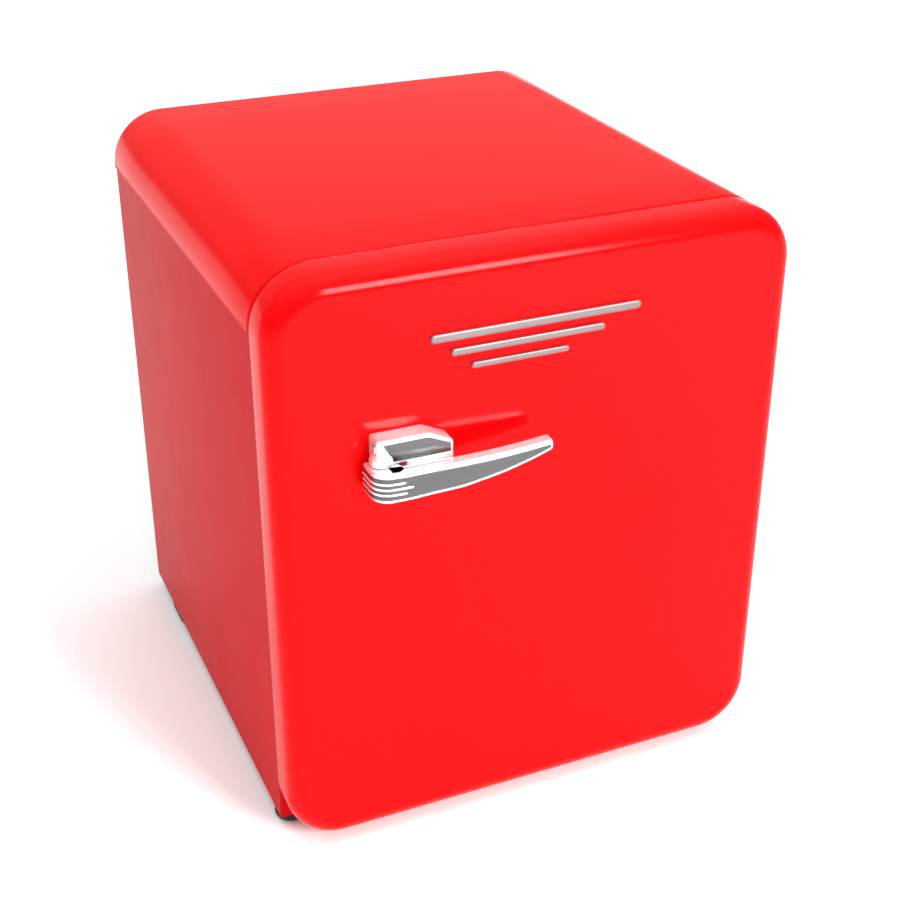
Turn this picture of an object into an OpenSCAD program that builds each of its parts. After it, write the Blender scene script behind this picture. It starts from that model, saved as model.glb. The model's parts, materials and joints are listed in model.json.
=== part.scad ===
// Compact rounded refrigerator with one door, a lever handle and a static condenser.
// Millimetres. +Z is up, the door faces -Y, and the origin is on the floor at the middle of
// the overall outline.

/* [Cabinet] */
// Width of the cabinet
cab_w = 440; // [430:1:460]
// Depth of the cabinet, from the front flange to the rear edge
cab_d = 425; // [420:1:445]
// Height of the cabinet above its feet
cab_h = 500; // [495:1:530]
// Height of the feet
foot_h = 12; // [11:0.5:16]
// Radius of the top edges and of the door's corners
corner_r = 48; // [44:1:52]
// Thickness of the wrapped top cover's sheet
cover_t = 1.2; // [1.1:0.05:1.4]
// Thickness of the other steel sheet
sheet_t = 0.8; // [0.6:0.1:0.9]
// Drop of the top cover's lip below the top
lip_drop = 50; // [50:1:56]
// Width of the steel flange around the cabinet's mouth
flange_w = 24; // [23:0.5:25]

/* [Insulation] */
// Insulated thickness of the side walls and floor
wall_t = 38; // [36:1:39]
// Insulated thickness of the roof
roof_t = 40; // [38:1:42]
// Thickness of the moulded liners
liner_t = 1.5; // [1.2:0.1:1.6]

/* [Door] */
// Gap between the door and the cabinet
door_gap = 3; // [3:0.1:3.4]
// Thickness of the door
door_t = 37; // [36:0.5:38]
// Radius of the crown around the door's front face
crown_r = 17; // [14:1:18]
// Distance the door hangs below the cabinet's floor
door_drop = 4; // [2:1:5]
// Distance from the door's right edge in to the hinge axis
hinge_in = 10; // [10:0.5:11]

/* [Handle and badge] */
// Furthest reach of the handle in front of the door
handle_reach = 34; // [34:0.5:36]
// Position of the lever's pivot across the door
pivot_x = -141; // [-143:1:-139]
// Height of the lever's top edge below the top of the door
lever_drop = 147.5; // [140:0.5:160]
// Length of the lever beyond its pivot
lever_len = 136; // [132:1:139]

/* [Freezer box] */
// Width of the freezer box
ev_w = 236; // [230:1:238]
// Height of the freezer box
ev_h = 92; // [88:1:94]
// Set-back of the freezer box from the cabinet's mouth
ev_back = 105; // [104:1:110]

/* [Cooling unit] */
// Radius of the compressor's can
comp_r = 54; // [48:1:55]
// Outer radius of the condenser's tube
tube_r = 2.4; // [2.2:0.1:2.6]
// Number of level runs in the condenser, always odd
tube_runs = 11; // [7:2:11]

/* [Hidden] */
$fn = 64;

c_red = "#d5161c";
c_side = "#b02c2c";
c_white = "#e9e9e6";
c_foam = "#e3cf9a";
c_steel = "#b9bcc0";
c_chrome = "#d7dade";
c_black = "#1b1b1c";
c_copper = "#b87333";
c_zinc = "#9a9ea3";

half_w = cab_w / 2;
z_bot = foot_h;
z_top = foot_h + cab_h;

// planes from front to back: the whole outline is centred on the origin
y_front = -(cab_d - (door_gap + door_t + handle_reach)) / 2;
y_back = y_front + cab_d;
y_panel = y_back - 22;
y_liner = y_panel - wall_t;
y_bay = y_back - 140;
y_hump = y_bay - 35;
door_rear = y_front - door_gap;
door_face = door_rear - door_t;

// storage space inside the liner
space_x = half_w - wall_t;
z_floor = z_bot + wall_t;
z_roof = z_top - roof_t;
z_hump = z_bot + 200;
z_bay = z_hump - 35;
liner_r = 12;
lip_z = z_top - lip_drop;
flange_low = z_bot + flange_w;
foam_in = 3.2;

// door outline
door_z0 = z_bot - door_drop;
door_h = z_top - door_z0;
door_zc = (z_top + door_z0) / 2;
return_w = 8;
gasket_in = 13;
gasket_w = 17;
plug_x = half_w - 55;
dyke_w = 13;
plug_z0 = z_floor + 12;
plug_z1 = z_roof - 12;
plug_y = y_front + 8;
rack_y_up = y_front + 58;
rack_y_low = y_front + 83;
z_dyke_up = z_floor + 295;
z_dyke_low = z_floor + 165;

// hinges
hinge_x = half_w - hinge_in;
hinge_y = y_front - 22;
hinge_z = [door_z0 + corner_r + 8, z_top - corner_r - 8];
hinge_pin_r = 3;
arm_t = 3;
slot_h = 7;
bush_len = 10;

// freezer box and what hangs from it
ev_x0 = -space_x + 6;
ev_cx = ev_x0 + ev_w / 2;
ev_z1 = z_roof - 4;
ev_z0 = ev_z1 - ev_h;
ev_y0 = y_front + ev_back;
ev_y1 = y_liner - 15;
ev_t = 2;
flap_y = ev_y0 + 5;
flap_z = ev_z1 - 8;
flap_pin_r = 2;
tray_half = ev_w / 2 - 6;
tray_z0 = ev_z0 - 26;
tray_z1 = ev_z0 - 7;
rail_in = tray_half + 5.2;

// thermostat
stat_x = space_x - 56;
stat_z = z_roof - 26;
stat_y = y_front + 150;

// shelf
shelf_t = 4;
shelf_y0 = y_front + 95;
shelf_y1 = y_liner - 17;
ledge_w = 8;
ledge_h = 6;

// cooling unit
coil_y = y_back - 10;
coil_half = half_w - 35;
coil_z0 = z_bay + 28;
coil_pitch = (z_top - 26 - coil_z0) / (tube_runs - 1);
wire_r = 0.8;
comp_x = 62;
comp_y = y_back - 66;
comp_z = z_bot + 10;
comp_h = 122;
comp_seam = comp_z + 58;
dome_rise = 0.3;
riser_x = coil_half + 24.5;
drier_x = -coil_half - 11;
drier_z = z_bay - 92;
mount_dx = 72;
mount_dy = 42;
tray_top = z_bot + 2;
mount_z = comp_z + dome_rise * comp_r + 0.5;
mount_t = 3;
gland_x = -half_w + 60;
gland_z = z_bot + 11;

// feet
foot_r = 14;
foot_x = half_w - 16;
foot_y = y_front + 18;
stem_r = 4;
insert_h = 12;
rear_foot_y = y_back - 70;

// handle: s is the distance in front of the door's face
lever_top = z_top - lever_drop;
lever_tall = 24;
drum_r = 14;
drum_x = pivot_x + 4;
drum_s = 17.5;
wrap_x = pivot_x + 14;
wrap_s = 4;
pivot_s = 12;
bow_r = 465;
bow_t = 11;
bow_x = pivot_x + 64.5;
bow_s = handle_reach - 0.8 - bow_r;
lever_pin_r = 2.5;
base_x0 = pivot_x - 4;
base_x1 = pivot_x + 57.5;
base_top = lever_top + 21;
base_s = 17.5;
lug_z = lever_top - lever_tall - 4;
handle_screw_x = [base_x1 - 32, base_x1 - 8];

// ---- shared shapes ----

module span(a, b) translate(a) cube(b - a);

// extrudes a drawing in X and Z from y0 to y1
module along_y(y0, y1) translate([0, y1, 0]) rotate([90, 0, 0]) linear_extrude(y1 - y0) children();

// extrudes a drawing in Y and Z from x0 to x1
module along_x(x0, x1) translate([x0, 0, 0]) rotate([90, 0, 90]) linear_extrude(x1 - x0) children();

// rounded rectangle between two corners
module rrect(x0, x1, z0, z1, r) {
  translate([x0 + r, z0]) square([x1 - x0 - 2 * r, z1 - z0]);
  translate([x0, z0 + r]) square([x1 - x0, z1 - z0 - 2 * r]);
  for (x = [x0 + r, x1 - r], z = [z0 + r, z1 - r]) translate([x, z]) circle(r);
}

// cabinet outline, inset all round, with rounded top corners and a flat lower edge
module arch(inset, low) {
  w = half_w - inset;
  top = z_top - inset;
  r = corner_r - inset;
  translate([-w, low]) square([2 * w, top - r - low]);
  intersection() {
    union() {
      translate([-w + r, low]) square([2 * (w - r), top - low]);
      for (x = [-w + r, w - r]) translate([x, top - r]) circle(r);
    }
    translate([-w, low]) square([2 * w, top - low]);
  }
}

// storage space, grown by g; the step at its back clears the compressor
module liner_form(g) intersection() {
  along_y(y_front - 2, y_liner + g)
    rrect(-space_x - g, space_x + g, z_floor - g, z_roof + g, liner_r + g);
  along_x(-half_w, half_w) {
    rrect(y_front - 40, y_hump + g, z_floor - g, z_roof + g, liner_r + g);
    rrect(y_front - 40, y_liner + g, z_hump - g, z_roof + g, liner_r + g);
  }
}

// slab with rounded corners in outline and a rounded rim on its +Z face
module pillow(w, h, r, t, rim) {
  linear_extrude(t - rim) rrect(-w / 2, w / 2, -h / 2, h / 2, r);
  translate([-w / 2 + r, -h / 2 + r, 0]) cube([w - 2 * r, h - 2 * r, t]);
  for (a = [0 : 90 : 270]) {
    turned = a % 180 == 0;
    along = (turned ? h : w) / 2 - r;
    out = (turned ? w : h) / 2;
    rotate([0, 0, a]) {
      translate([out - r, along, 0]) rotate_extrude(angle = 90) rim_profile(r, t, rim);
      translate([out - r, along, 0]) rotate([90, 0, 0]) linear_extrude(2 * along)
        rim_profile(r, t, rim);
    }
  }
}

module rim_profile(r, t, rim) {
  square([r - rim, t]);
  square([r, t - rim]);
  intersection() {
    translate([r - rim, t - rim]) circle(rim);
    square([r, t]);
  }
}

// stands a slab up as the door, shrunk by g on every side but the rear
module door_form(g) translate([0, door_rear, door_zc]) rotate([90, 0, 0])
  pillow(cab_w - 2 * g, door_h - 2 * g, corner_r - g, door_t - g, crown_r - g);

// door outline, inset all round
module door_outline(inset) translate([0, door_zc])
  rrect(-half_w + inset, half_w - inset, -door_h / 2 + inset, door_h / 2 - inset, corner_r - inset);

// raised inner face of the door, shrunk by g
module door_plug(g) {
  span([-plug_x + g, door_rear - 6, plug_z0 + g], [plug_x - g, plug_y - g, plug_z1 - g]);
  for (s = [-1, 1]) {
    x0 = s > 0 ? plug_x - dyke_w : -plug_x;
    span([x0 + g, door_rear - 6, plug_z0 + g], [x0 + dyke_w - g, rack_y_up - g, z_dyke_up - g]);
    span([x0 + g, door_rear - 6, plug_z0 + g], [x0 + dyke_w - g, rack_y_low - g, z_dyke_low - g]);
  }
}

// clearance for the hinge arms as the door swings round them
module hinge_slots() for (z = hinge_z)
  span([hinge_x - 7, hinge_y - 13, z - slot_h / 2], [half_w + 1, y_front, z + slot_h / 2]);

module hinge_bores(r) for (z = hinge_z)
  translate([hinge_x, hinge_y, z - slot_h / 2 - bush_len]) cylinder(r = r, h = slot_h + 2 * bush_len);

// places its children on the door's face, with +Y pointing away from the door
module on_door() translate([0, door_face, 0]) mirror([0, 1, 0]) children();

// round bar through a list of points, with a slightly fuller ball at each bend
module bar(points, r) {
  for (i = [0 : len(points) - 2]) {
    d = points[i + 1] - points[i];
    translate(points[i])
      rotate([0, acos(d.z / norm(d)), atan2(d.y, d.x)]) cylinder(r = r, h = norm(d));
  }
  for (i = [1 : len(points) - 2]) translate(points[i]) sphere(r * 1.05);
}

// countersinks in the front flange for the hinge screws
module hinge_sinks() for (z = hinge_z, s = [-1, 1])
  translate([half_w - 8, y_front - 0.01, z + 13 * s]) rotate([-90, 0, 0])
    cylinder(r1 = 3.5, r2 = 3.5 - sheet_t, h = sheet_t + 0.02);

// ---- cabinet ----

module top_cover() color(c_red) difference() {
  along_y(y_front, y_back) arch(0, lip_z);
  along_y(y_front + sheet_t, y_back - sheet_t) arch(cover_t, lip_z - 1);
  along_y(y_front - 1, y_front + 2) arch(flange_w, lip_z - 1);
  along_y(y_back - 2, y_back + 1) arch(14, lip_z - 1);
  hinge_sinks();
}

module side_panel() difference() {
  x1 = half_w - cover_t - 0.1;
  z1 = z_top - corner_r;
  union() {
    span([x1 - sheet_t, y_front, z_bot], [x1, y_back, lip_z - 0.2]);
    span([x1 - sheet_t, y_front + sheet_t + 0.1, lip_z - 1], [x1, y_back - sheet_t - 0.1, z1]);
    span([half_w - flange_w, y_front, z_bot], [x1, y_front + sheet_t, lip_z - 0.2]);
    span([x1 - 13, y_back - sheet_t, z_bot], [x1, y_back, lip_z - 0.2]);
  }
  children();
}

module side_panel_left() color(c_side) mirror([1, 0, 0]) side_panel();

module side_panel_right() color(c_side) side_panel() {
  for (z = hinge_z) span([hinge_x - 2.5, y_front - 1, z - arm_t / 2 - 0.3],
    [half_w - 3.7, y_front + 2, z + arm_t / 2 + 0.3]);
  hinge_sinks();
}

module base_pan() color(c_side) difference() {
  w = half_w - 2.3;
  union() {
    span([-w, y_front + sheet_t + 0.1, z_bot], [w, y_bay, z_bot + 1]);
    span([-half_w + flange_w + 0.2, y_front, z_bot], [half_w - flange_w - 0.2, y_front + 1, flange_low]);
    for (s = [-1, 1]) span([s > 0 ? w - sheet_t : -w, y_front + 1, z_bot],
      [s > 0 ? w : -w + sheet_t, y_bay, z_bot + 14]);
  }
  for (s = [-1, 1]) translate([s * foot_x, foot_y, z_bot - 1]) cylinder(r = stem_r + 0.5, h = 3);
}

module compressor_tray() color(c_zinc) difference() {
  rear = y_back - 4;
  union() {
    span([-half_w + 3, y_bay + 2, z_bot], [half_w - 3, rear, tray_top]);
    for (y = [y_bay + 2, rear - 2])
      span([-half_w + 3, y, z_bot], [half_w - 3, y + 2, z_bot + (y > y_bay + 2 ? 20 : 16)]);
  }
  for (x = [-1, 1], y = [-1, 1])
    translate([comp_x + x * mount_dx, comp_y + y * mount_dy, z_bot - 1]) cylinder(r = 3.2, h = 4);
  translate([gland_x, rear - 3, gland_z]) rotate([-90, 0, 0]) cylinder(r = 6, h = 4);
}

module bay_panel() color(c_zinc) {
  w = half_w - foam_in;
  span([-w, y_bay, z_bot], [w, y_bay + 1, z_bay]);
  span([-w, y_bay, z_bay - 1], [w, y_panel, z_bay]);
}

module back_panel() color(c_zinc)
  along_y(y_panel, y_panel + 1) intersection() {
    arch(foam_in, z_bay + 1);
    translate([-half_w, z_bay]) square([cab_w, cab_h]);
  }

module foam_core() color(c_foam) difference() {
  along_y(y_front + liner_t + 0.1, y_panel) arch(foam_in, z_bot + 1);
  liner_form(liner_t);
  span([-half_w, y_bay, 0], [half_w, y_back, z_bay]);
  for (s = [-1, 1]) {
    translate([s * foot_x, foot_y, z_bot]) cylinder(r = 9, h = insert_h + 1);
    translate([s * foot_x, foot_y, z_bot]) cylinder(r = stem_r + 2, h = insert_h + 24);
  }
  for (z = hinge_z) span([half_w - 23, y_front, z - 21], [half_w, y_front + 14, z + 21]);
}

module inner_liner() color(c_white) difference() {
  union() {
    difference() {
      liner_form(liner_t);
      span([-half_w, y_front - 50, 0], [half_w, y_front, z_top]);
    }
    along_y(y_front, y_front + liner_t) arch(flange_w + 0.3, flange_low + 0.3);
  }
  difference() {
    liner_form(0);
    for (s = [-1, 1], z = [z_hump - ledge_h, z_floor + 72])
      span([s > 0 ? space_x - ledge_w : -space_x - 1, y_front + 92, z],
        [s > 0 ? space_x + 1 : -space_x + ledge_w, y_hump + 1, z + ledge_h]);
  }
}

// ---- inside the cabinet ----

module evaporator() color("#d9dde0") difference() {
  along_y(ev_y0, ev_y1) rrect(ev_x0, ev_x0 + ev_w, ev_z0, ev_z1, ev_t + 2);
  along_y(ev_y0 - 1, ev_y1 - ev_t) rrect(ev_x0 + ev_t, ev_x0 + ev_w - ev_t, ev_z0 + ev_t, ev_z1 - ev_t, 2);
  translate([ev_x0 - 1, flap_y, flap_z]) rotate([0, 90, 0]) cylinder(r = flap_pin_r + 0.05, h = ev_w + 2);
}

module evaporator_screws() color(c_steel)
  for (x = [-1, 1], y = [ev_y0 + 30, ev_y1 - 30])
    translate([ev_cx + x * (ev_w / 2 - 25), y, 0]) {
      translate([0, 0, ev_z1]) cylinder(r = 6, h = z_roof - ev_z1);
      translate([0, 0, ev_z1 - ev_t - 2]) cylinder(r = 3.5, h = 2);
    }

module tray_runners() color(c_white)
  for (s = [-1, 1]) translate([ev_cx, 0, 0]) mirror([s > 0 ? 0 : 1, 0, 0]) {
    span([rail_in, ev_y0 + 5, ev_z0 - 12], [rail_in + 1.8, ev_y1 - 20, ev_z0]);
    span([rail_in - 4, ev_y0 + 5, ev_z0 - 12], [rail_in + 0.5, ev_y1 - 20, ev_z0 - 9.5]);
  }

module drip_tray() color(c_white) translate([ev_cx, 0, 0]) difference() {
  union() {
    span([-tray_half, ev_y0 - 4, tray_z0], [tray_half, ev_y1 - 22, tray_z1]);
    span([-tray_half - 4.7, ev_y0 + 2, tray_z1 - 2], [tray_half + 4.7, ev_y1 - 22, tray_z1]);
    span([-45, ev_y0 - 12, tray_z1 - 5], [45, ev_y0, tray_z1]);
  }
  span([-tray_half + 2, ev_y0 - 2, tray_z0 + 2], [tray_half - 2, ev_y1 - 24, tray_z1 + 1]);
  span([-38, ev_y0 - 10, tray_z1 - 6], [38, ev_y0 - 4.5, tray_z1 - 2]);
}

module freezer_flap() color("#f3f5f6") translate([0, flap_y, flap_z]) {
  x0 = ev_x0 + ev_t + 1;
  x1 = ev_x0 + ev_w - ev_t - 1;
  drop = flap_z - ev_z0 - ev_t - 2;
  span([x0, -3.5, -drop], [x1, -0.5, 0]);
  span([x0 + 20, -8, -drop], [x1 - 20, -1, -drop + 3]);
  translate([x0, 0, 0]) rotate([0, 90, 0]) cylinder(r = 4, h = x1 - x0);
  translate([x0 - ev_t, 0, 0]) rotate([0, 90, 0]) cylinder(r = flap_pin_r, h = x1 - x0 + 2 * ev_t);
}

module thermostat_housing() color(c_white) difference() {
  union() {
    span([stat_x - 42, stat_y, stat_z - 20], [stat_x + 42, stat_y + 110, z_roof]);
    translate([stat_x, stat_y, stat_z]) rotate([90, 0, 0]) cylinder(r = 19, h = 2);
  }
  span([stat_x - 40, stat_y + 2, stat_z - 18], [stat_x + 40, stat_y + 108, z_roof + 1]);
  translate([stat_x, stat_y + 3, stat_z]) rotate([90, 0, 0]) cylinder(r = 3.05, h = 6);
  for (i = [0 : 6]) translate([stat_x - 30 + 10 * i, stat_y + 60, stat_z - 21]) cube([4, 36, 5]);
}

module thermostat_knob() color("#f3f3f1") translate([stat_x, stat_y - 2.3, stat_z]) rotate([90, 0, 0]) {
  cylinder(r1 = 17, r2 = 16, h = 5);
  cylinder(r = 12, h = 14);
  translate([-2.5, -15, 4]) cube([5, 30, 12]);
}

module thermostat_spindle() color(c_steel)
  translate([stat_x, stat_y + 16, stat_z]) rotate([90, 0, 0]) cylinder(r = 3, h = 18.3);

module thermostat_sensor() color(c_steel)
  bar([[stat_x - 42, stat_y + 50, stat_z - 8], [ev_x0 + ev_w + 1.3, stat_y + 50, stat_z - 8],
    [ev_x0 + ev_w + 1.3, stat_y + 120, stat_z - 8]], 1.2);

module glass_shelf() color("#cfe6dd")
  span([-space_x + 2, shelf_y0, z_hump], [space_x - 2, shelf_y1, z_hump + shelf_t]);

module shelf_trims() color(c_white) {
  w = space_x - ledge_w - 1;
  difference() {
    union() {
      span([-w, shelf_y0 - 4, z_hump - 3], [w, shelf_y0 + 7, z_hump + shelf_t + 2]);
      span([-w, shelf_y1 - 6, z_hump], [w, shelf_y1 + 3, z_hump + shelf_t + 9]);
    }
    span([-half_w, shelf_y0, z_hump], [half_w, shelf_y1, z_hump + shelf_t]);
  }
}

// ---- cooling unit ----

// level runs joined by return bends, with a small brazed bulge at each joint
module condenser_tube() color(c_black) {
  turn_r = coil_pitch / 2;
  for (i = [0 : tube_runs - 1]) {
    z = coil_z0 + i * coil_pitch;
    side = i % 2 == 0 ? 1 : -1;
    translate([-coil_half, coil_y, z]) rotate([0, 90, 0]) cylinder(r = tube_r, h = 2 * coil_half);
    for (x = [-coil_half, coil_half]) translate([x, coil_y, z]) sphere(tube_r * 1.05);
    if (i < tube_runs - 1) translate([side * coil_half, coil_y, z + turn_r])
      rotate([90, 0, 0]) rotate([0, 0, -90 * side])
        rotate_extrude(angle = 180) translate([turn_r, 0]) circle(tube_r);
  }
}

module condenser_wires() color("#2a2a2b") {
  y = coil_y + tube_r + wire_r - 0.1;
  low = coil_z0 - 8;
  high = z_top - 18;
  for (x = [-coil_half + 6 : 12 : coil_half - 6])
    translate([x, y, low]) cylinder(r = wire_r, h = high - low);
  for (z = [low, high])
    translate([-coil_half + 5, y, z]) rotate([0, 90, 0]) cylinder(r = wire_r, h = 2 * coil_half - 11);
}

module condenser_clips() color(c_black)
  for (x = [-1, 1], i = [1, tube_runs - 2]) translate([x * (coil_half - 20), 0, coil_z0 + i * coil_pitch]) {
    difference() {
      span([-7, y_panel + 1, -6], [7, coil_y + 2, 6]);
      translate([-8, coil_y, 0]) rotate([0, 90, 0]) cylinder(r = tube_r, h = 16);
    }
  }

// turned half of the compressor's can: a shallow dome on a straight wall
module can(r, wall, h) rotate_extrude() difference() {
  can_profile(r, h);
  can_profile(r - wall, h - wall);
}

// half section of a can, filled; its dome is one arc that meets the wall at the rim
module can_profile(r, h) {
  rise = dome_rise * r;
  arc_r = r * (1 + dome_rise * dome_rise) / (2 * dome_rise);
  square([r, h - rise]);
  intersection() {
    translate([0, h - arc_r]) circle(arc_r);
    square([r, h]);
  }
}

module compressor_upper_shell() color(c_black) translate([comp_x, comp_y, comp_seam])
  can(comp_r - 3, 3, comp_z + comp_h - comp_seam);

module compressor_lower_shell() color(c_black) translate([comp_x, comp_y, comp_seam]) {
  mirror([0, 0, 1]) can(comp_r, 3, comp_seam - comp_z);
  difference() {
    translate([0, 0, -3]) cylinder(r = comp_r, h = 5);
    translate([0, 0, -4]) cylinder(r = comp_r - 3, h = 7);
  }
}

module compressor_motor() color(c_copper) translate([comp_x, comp_y, comp_z + 18]) difference() {
  union() {
    cylinder(r = 36, h = 40);
    translate([0, 0, 40]) cylinder(r = 24, h = 26);
    translate([-30, -12, 44]) cube([60, 24, 22]);
  }
  translate([0, 0, -1]) cylinder(r = 8, h = 80);
}

module at_mounts(z) for (x = [-1, 1], y = [-1, 1])
  translate([comp_x + x * mount_dx, comp_y + y * mount_dy, z]) children();

module compressor_mount() color(c_black) difference() {
  translate([comp_x - mount_dx - 12, comp_y - mount_dy - 10, mount_z])
    cube([2 * mount_dx + 24, 2 * mount_dy + 20, mount_t]);
  translate([comp_x, comp_y, mount_z - 1]) cylinder(r = comp_r, h = mount_t + 2);
  at_mounts(mount_z - 1) cylinder(r = 6, h = mount_t + 2);
}

module compressor_grommets() color("#2e2e2f") at_mounts(tray_top) difference() {
  h = mount_z - tray_top;
  union() {
    cylinder(r = 9, h = h);
    cylinder(r = 5.9, h = h + mount_t + 1);
    translate([0, 0, h + mount_t + 0.2]) cylinder(r = 8, h = 4);
  }
  translate([0, 0, -1]) cylinder(r = 3, h = h + 12);
}

module compressor_bolts() color(c_steel) {
  at_mounts(z_bot - 3) cylinder(r = 5.5, h = 3, $fn = 6);
  at_mounts(z_bot - 1) cylinder(r = 2.9, h = mount_z + mount_t + 10 - z_bot);
  at_mounts(mount_z + mount_t + 4.2) cylinder(r = 5.5, h = 4, $fn = 6);
}

module relay_cover() color("#232324")
  translate([comp_x - comp_r - 24, comp_y - 18, comp_z + 34]) difference() {
    cube([27, 36, 44]);
    translate([24 + comp_r, 18, -1]) cylinder(r = comp_r + 0.2, h = 50);
  }

module discharge_pipe() color(c_copper) {
  x = comp_x + comp_r - 1.5;
  z = comp_z + 42;
  z_last = coil_z0 + (tube_runs - 1) * coil_pitch;
  bar([[x, comp_y, z], [x + 32, comp_y, z], [x + 32, comp_y, z + 34], [x + 32, coil_y, z + 34],
    [riser_x, coil_y, z + 50], [riser_x, coil_y, z_last], [coil_half, coil_y, z_last]], tube_r);
}

module suction_pipe() color(c_copper) {
  z = comp_z + 48;
  bar([[comp_x - 20, comp_y + comp_r - 4, z], [comp_x - 20, comp_y + comp_r + 6, z],
    [comp_x - 98, comp_y + comp_r + 6, z], [comp_x - 98, y_bay + 22, z],
    [comp_x - 98, y_bay + 22, z_bay - 1]], 3);
}

module filter_drier() color(c_copper) {
  bar([[-coil_half, coil_y, coil_z0], [drier_x, coil_y, coil_z0], [drier_x, coil_y, z_bay - 6],
    [drier_x, coil_y - 8, z_bay - 20], [drier_x, coil_y - 8, drier_z + 60]], tube_r);
  translate([drier_x, coil_y - 8, drier_z]) {
    cylinder(r = 9, h = 52);
    translate([0, 0, -14]) cylinder(r1 = 2, r2 = 9, h = 14);
    translate([0, 0, 52]) cylinder(r1 = 9, r2 = 3, h = 12);
  }
}

module capillary_tube() color(c_copper) {
  y = coil_y - 8;
  bar([[drier_x, y, drier_z - 12], [drier_x, y, drier_z - 44], [comp_x - 108, y, drier_z - 44],
    [comp_x - 108, y_bay + 22, drier_z - 44], [comp_x - 108, y_bay + 22, z_bay - 1]], 1.1);
}

// moulded gland in the tray's rear wall, where the mains lead leaves
module cable_gland() color(c_black) translate([gland_x, y_back, gland_z]) rotate([90, 0, 0])
  difference() {
    union() {
      translate([0, 0, 1]) cylinder(r = 8.5, h = 3);
      translate([0, 0, 3.9]) cylinder(r = 6, h = 2.2);
      translate([0, 0, 6]) cylinder(r = 7.5, h = 4);
    }
    cylinder(r = 3.6, h = 12);
  }

// ---- hinges and feet ----

module hinge_bracket(z) translate([0, 0, z]) difference() {
  x0 = hinge_x - 2.2;
  x1 = half_w - 4;
  union() {
    span([x0, hinge_y, -arm_t / 2], [x1, y_front + 4, arm_t / 2]);
    translate([hinge_x, hinge_y, -arm_t / 2]) cylinder(r = 6, h = arm_t);
    span([half_w - 22, y_front + 1, -20], [x1, y_front + 4, 20]);
  }
  translate([hinge_x, hinge_y, -arm_t]) cylinder(r = hinge_pin_r, h = 2 * arm_t);
  for (s = [-1, 1]) translate([half_w - 8, y_front, 13 * s]) rotate([-90, 0, 0]) cylinder(r = 2, h = 6);
}

module upper_hinge() color(c_zinc) hinge_bracket(hinge_z[1]);
module lower_hinge() color(c_zinc) hinge_bracket(hinge_z[0]);

module hinge_pins() color(c_steel) for (z = hinge_z)
  translate([hinge_x, hinge_y, z - slot_h / 2 - bush_len + 1])
    cylinder(r = hinge_pin_r, h = slot_h + 2 * bush_len - 2);

module hinge_screws() color(c_steel)
  for (z = hinge_z, s = [-1, 1]) translate([half_w - 8, y_front, z + 13 * s]) rotate([-90, 0, 0]) {
    cylinder(r1 = 3.4, r2 = 2, h = 1);
    cylinder(r = 1.9, h = 11);
  }

module foot_inserts() color(c_zinc)
  for (s = [-1, 1]) translate([s * foot_x, foot_y, z_bot + 1]) difference() {
    cylinder(r = 9, h = insert_h);
    translate([0, 0, -1]) cylinder(r = stem_r + 0.05, h = insert_h + 2);
  }

module front_foot(s) translate([s * foot_x, foot_y, 0]) {
  cylinder(r1 = foot_r - 1, r2 = foot_r, h = 2);
  translate([0, 0, 2]) cylinder(r = foot_r, h = z_bot - 7);
  translate([0, 0, z_bot - 5]) cylinder(r = 8, h = 3, $fn = 6);
  translate([0, 0, z_bot - 6]) cylinder(r = stem_r, h = 30);
}

module front_foot_left() color(c_black) front_foot(-1);
module front_foot_right() color(c_black) front_foot(1);

module rear_feet() color(c_black) for (s = [-1, 1])
  translate([s * (half_w - 13), rear_foot_y, 0]) {
    linear_extrude(z_bot) rrect(-10, 10, -20, 20, 5);
  }

// ---- door ----

module door_skin() color(c_red) difference() {
  door_form(0);
  difference() {
    door_form(sheet_t);
    along_y(door_rear - sheet_t, door_rear) difference() {
      door_outline(sheet_t / 2);
      door_outline(return_w);
    }
  }
  along_y(door_rear - 1, door_rear + 1) door_outline(return_w);
  hinge_slots();
  handle_screw_places() cylinder(r = 2.6, h = 30, center = true);
}

module door_foam() color(c_foam) difference() {
  union() {
    intersection() {
      door_form(sheet_t);
      span([-half_w, door_face - 1, 0], [half_w, door_rear - liner_t, z_top]);
    }
    door_plug(liner_t);
  }
  hinge_slots();
  hinge_bores(5);
}

module door_liner() color(c_white) difference() {
  union() {
    along_y(door_rear - liner_t, door_rear) door_outline(return_w + 0.3);
    intersection() {
      door_plug(0);
      span([-half_w, door_rear - liner_t, 0], [half_w, rack_y_low + 1, z_top]);
    }
  }
  door_plug(liner_t);
  hinge_slots();
}

module door_gasket() color("#8f1d20") along_y(door_rear, y_front - 0.3) difference() {
  door_outline(gasket_in);
  door_outline(gasket_in + gasket_w);
}

module door_bushes() color(c_white) difference() {
  hinge_bores(5);
  hinge_bores(hinge_pin_r + 0.05);
  hinge_slots();
}

// open-topped bin between the door's side dykes
module door_bin(y1, z0, z1) difference() {
  w = plug_x - dyke_w;
  span([-w, plug_y, z0], [w, y1, z1]);
  span([-w + 2, plug_y + 2, z0 + 2], [w - 2, y1 - 2, z1 + 1]);
}

module upper_rack() color(c_white) door_bin(rack_y_up, z_dyke_up - 60, z_dyke_up - 5);
module lower_rack() color(c_white) door_bin(rack_y_low, plug_z0 + 8, plug_z0 + 88);

module rack_rail() color(c_chrome)
  translate([-plug_x + dyke_w, rack_y_low - 6, z_dyke_low - 18]) rotate([0, 90, 0])
    cylinder(r = 3, h = 2 * (plug_x - dyke_w));

module badge_bars() color(c_chrome) on_door() for (i = [0 : 2]) {
  half = 3.6 - 0.5 * i;
  x0 = -92 + 16 * i;
  x1 = 76 - 30 * i;
  z = z_top - 60 - 13 * i;
  along_y(0, 3) {
    for (x = [x0, x1]) translate([x, z]) circle(half);
    translate([x0, z - half]) square([x1 - x0, 2 * half]);
  }
}

// ---- handle ----

module at_pivot() translate([pivot_x, pivot_s, 0]) children();

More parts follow.
